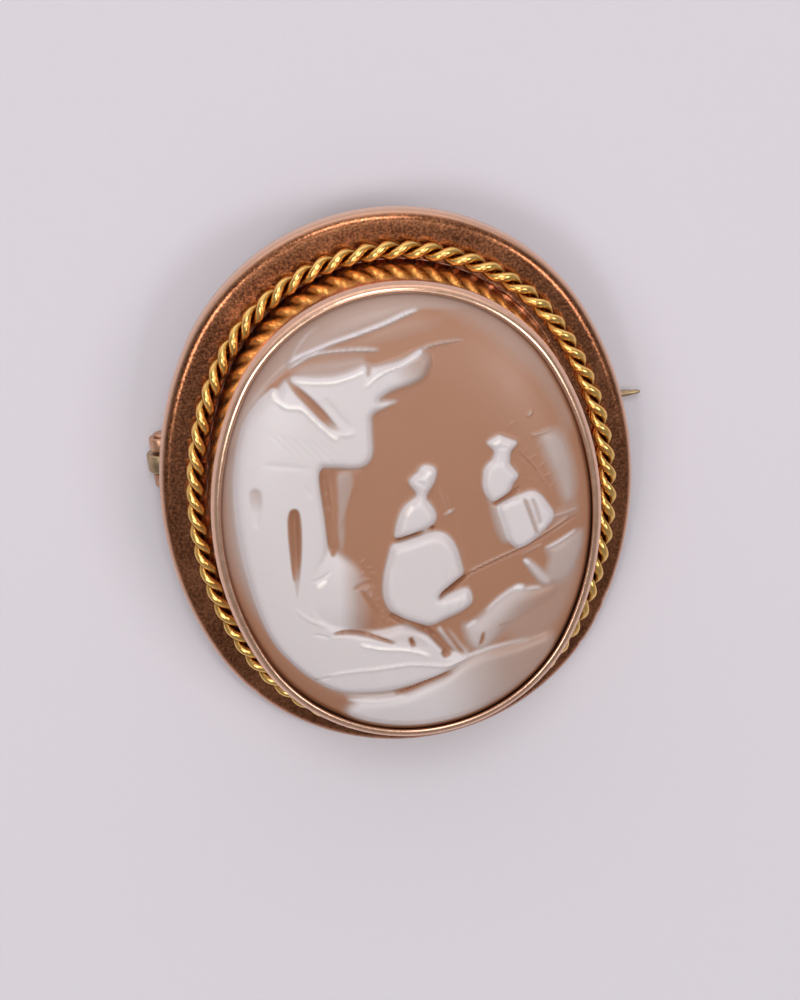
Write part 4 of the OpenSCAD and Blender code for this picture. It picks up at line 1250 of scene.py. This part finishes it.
class BROOCH_OT_catch(bpy.types.Operator):
    """Bend the catch: a C-shaped hook on a soldered post."""

    bl_idname = "brooch.catch"
    bl_label = "Catch"

    # How much narrower the post is than the hook, on each side, and the radius of its edges
    POST_INSET, POST_SOFT = 0.05 * MM, 0.08 * MM

    def execute(self, context):
        places = Places(context.scene)
        pin, start = places.pin, places.hook
        middle = pin.hook / 2 - pin.hook_sheet / 2
        gape = math.asin((pin.wire + pin.mouth_play) / 2 / middle)
        half, thin = pin.catch_width / 2, pin.hook_sheet / 2
        mouth = Vector((0, -math.cos(gape), math.sin(gape)))
        side = [(thin, half - SOFT), (thin - SOFT, half), (SOFT - thin, half), (-thin, half - SOFT)]
        corners = side + [(r, -t) for r, t in reversed(side)]
        outline = [start + (middle + r) * mouth + Vector((t, 0, 0)) for r, t in corners]
        hook = draw_line("catch_hook", outline, True)
        bpy.ops.mesh.edge_face_add()
        bpy.ops.mesh.spin(steps=44, angle=2 * (math.pi - gape), center=start, axis=(1, 0, 0))
        close_up(hook)
        low = start + Vector((-half + self.POST_INSET, -pin.post / 2, middle))
        high = Vector((start.x + half - self.POST_INSET, start.y + pin.post / 2, places.solder_z))
        soldered(hook, block("post", low, high, self.POST_SOFT))
        finish = back_gold(places.colours)
        put_down(hook, [finish], places.brooch, "brooch_body", "frame")
        return {"FINISHED"}


class BROOCH_OT_pin(bpy.types.Operator):
    """Turn the pin's head and its tapered wire and solder them together."""

    bl_idname = "brooch.pin"
    bl_label = "Pin"

    # Shares of the way along the taper, which narrows with their squares
    TAPER = (0, 0.25, 0.5, 0.75, 0.95)
    # Share of the tip's radius that its end face keeps, and how short that last slope is
    TIP_FACE, TIP_SLOPE = 0.6, 0.02 * MM

    def execute(self, context):
        places = Places(context.scene)
        pin = places.pin
        head = washer("pin_stem", places.rivet, pin.head_width, places.bore, pin.head / 2,
                      soft_steps=4, steps=56)
        start = places.rivet.x + places.bore + SOFT
        end = places.rivet.x + pin.reach
        wire, tip = pin.wire / 2, pin.tip / 2
        straight = end - pin.taper
        profile = ([(0, start), (wire, start)]
                   + [(wire, start + (straight - start) * k / 6) for k in range(1, 6)]
                   + [(wire - (wire - tip) * k * k, end - pin.taper * (1 - k)) for k in self.TAPER]
                   + [(tip * self.TIP_FACE, end - self.TIP_SLOPE), (0, end)])
        middle = Vector((0, places.rivet.y, places.stem_z))
        stem = turned("stem", profile, middle, (1, 0, 0), steps=20)
        soldered(head, stem)
        put_down(head, [pin_metal(places.colours)], places.brooch, "pin_body", "pin")
        return {"FINISHED"}


class BROOCH_OT_stage(bpy.types.Operator):
    """Set up the pale floor, the soft lights and the camera."""

    bl_idname = "brooch.stage"
    bl_label = "Stage"

    # Place of each light from the brooch in m, its size in m and its power in W
    LIGHTS = [
        ((-0.20, -0.03, 0.40), 0.15, 0.40),
        ((0.235, -0.03, 0.38), 0.15, 0.35),
        ((0.0, 0.20, 0.405), 0.17, 0.41),
        ((0.0, -0.03, 0.45), 0.22, 0.11),
    ]
    # Brightness by height above the horizon, and by nearness to the window behind the camera
    SKY = [(0.0, 0.30), (0.30, 0.30), (0.45, 0.22), (1.0, 0.22)]
    WINDOW = [(0.30, 0.30), (0.85, 1.0)]
    ROOM_TINT, ROOM_STRENGTH = (1.0, 0.985, 0.99), 4.0
    # Side of the floor, and how near the camera sees, in m
    FLOOR_SIZE, CLIP_START = 3.0, 0.01

    def execute(self, context):
        places = Places(context.scene)
        self.camera(context.scene, places.oval)
        self.floor(places.colours)
        for number, (place, size, power) in enumerate(self.LIGHTS, 1):
            light = bpy.data.lights.new(f"soft_light_{number}", "AREA")
            light.shape = "DISK"
            light.size = size
            light.energy = power
            lamp = bpy.data.objects.new(light.name, light)
            lamp.location = place
            lamp.rotation_euler = Vector(place).to_track_quat("Z", "Y").to_euler()
            context.scene.collection.objects.link(lamp)
        self.surroundings(context.scene)
        return {"FINISHED"}

    def camera(self, scene, oval):
        """Points the camera at the brooch as the photograph does."""
        view = scene.brooch_stage
        eye, aim = Vector(view.eye), Vector(view.aim)
        back = (eye - aim).normalized()
        up = Vector((math.sin(view.roll), math.cos(view.roll), 0))
        right = up.cross(back).normalized()
        turn = Matrix((right, back.cross(right), back)).transposed().to_4x4()
        lens = bpy.data.cameras.new("camera")
        lens.sensor_fit = "VERTICAL"
        lens.sensor_height = view.sensor
        lens.lens = view.lens
        lens.clip_start = self.CLIP_START
        stand = bpy.data.objects.new("camera", lens)
        stand.matrix_world = oval @ Matrix.Translation(eye) @ turn
        scene.collection.objects.link(stand)
        scene.camera = stand

    def floor(self, colours):
        """Lays the floor under the brooch."""
        pick()
        bpy.ops.mesh.primitive_plane_add(size=self.FLOOR_SIZE)
        floor = named("floor")
        floor.data.materials.append(pale_floor(colours))

    def surroundings(self, scene):
        """A dim room with a bright window low behind the camera."""
        room = Nodes(bpy.data.worlds.new("room"))
        place = room.node("ShaderNodeTexCoord", {}, {}, "Generated")
        sky, window = (
            room.node("ShaderNodeValToRGB", {"stops": self.greys(stops)},
                      {0: room.node("ShaderNodeSeparateXYZ", {}, {0: place}, axis)})
            for axis, stops in (("Z", self.SKY), ("Y", self.WINDOW))
        )
        light = room.node("ShaderNodeVectorMath", {"operation": "MULTIPLY"}, {0: sky, 1: window})
        glow = room.node("ShaderNodeBackground", {}, {"Color": light, "Strength": self.ROOM_STRENGTH})
        room.node("ShaderNodeOutputWorld", {}, {"Surface": glow})
        scene.world = room.owner
        scene.view_settings.view_transform = "Standard"

    def greys(self, stops):
        """A ramp's stops from positions and brightnesses."""
        return [(position, [grey * part for part in self.ROOM_TINT]) for position, grey in stops]


class BROOCH_PT_panel(bpy.types.Panel):
    """The brooch's pieces, in the order in which they are made."""

    bl_idname = "BROOCH_PT_panel"
    bl_label = "Cameo Brooch"
    bl_space_type = "VIEW_3D"
    bl_region_type = "UI"
    bl_category = "Brooch"

    def draw(self, context):
        for operator in OPERATORS:
            self.layout.operator(operator.bl_idname)


OPERATORS = [BROOCH_OT_sheet, BROOCH_OT_rope, BROOCH_OT_cameo, BROOCH_OT_hinge, BROOCH_OT_catch,
             BROOCH_OT_pin, BROOCH_OT_stage]
GROUPS = {"brooch_sheet": BroochSheet, "brooch_rope": BroochRope, "brooch_cameo": BroochCameo,
          "brooch_pin": BroochPin, "brooch_finish": BroochFinish, "brooch_stage": BroochStage}


def register():
    """Adds the sizes and colours, the operators and the panel to Blender."""
    for name, group in GROUPS.items():
        bpy.utils.register_class(group)
        setattr(bpy.types.Scene, name, PointerProperty(type=group))
    for kind in OPERATORS + [BROOCH_PT_panel]:
        bpy.utils.register_class(kind)


def unregister():
    """Takes them away again, in reverse order."""
    for kind in [BROOCH_PT_panel] + OPERATORS[::-1]:
        bpy.utils.unregister_class(kind)
    for name, group in reversed(GROUPS.items()):
        delattr(bpy.types.Scene, name)
        bpy.utils.unregister_class(group)


def main():
    """Makes the whole brooch and its stage."""
    register()
    bpy.ops.brooch.sheet()
    bpy.ops.brooch.rope()
    bpy.ops.brooch.cameo()
    bpy.ops.brooch.hinge()
    bpy.ops.brooch.catch()
    bpy.ops.brooch.pin()
    bpy.ops.brooch.stage()
    pick()


if __name__ == "__main__":
    main()
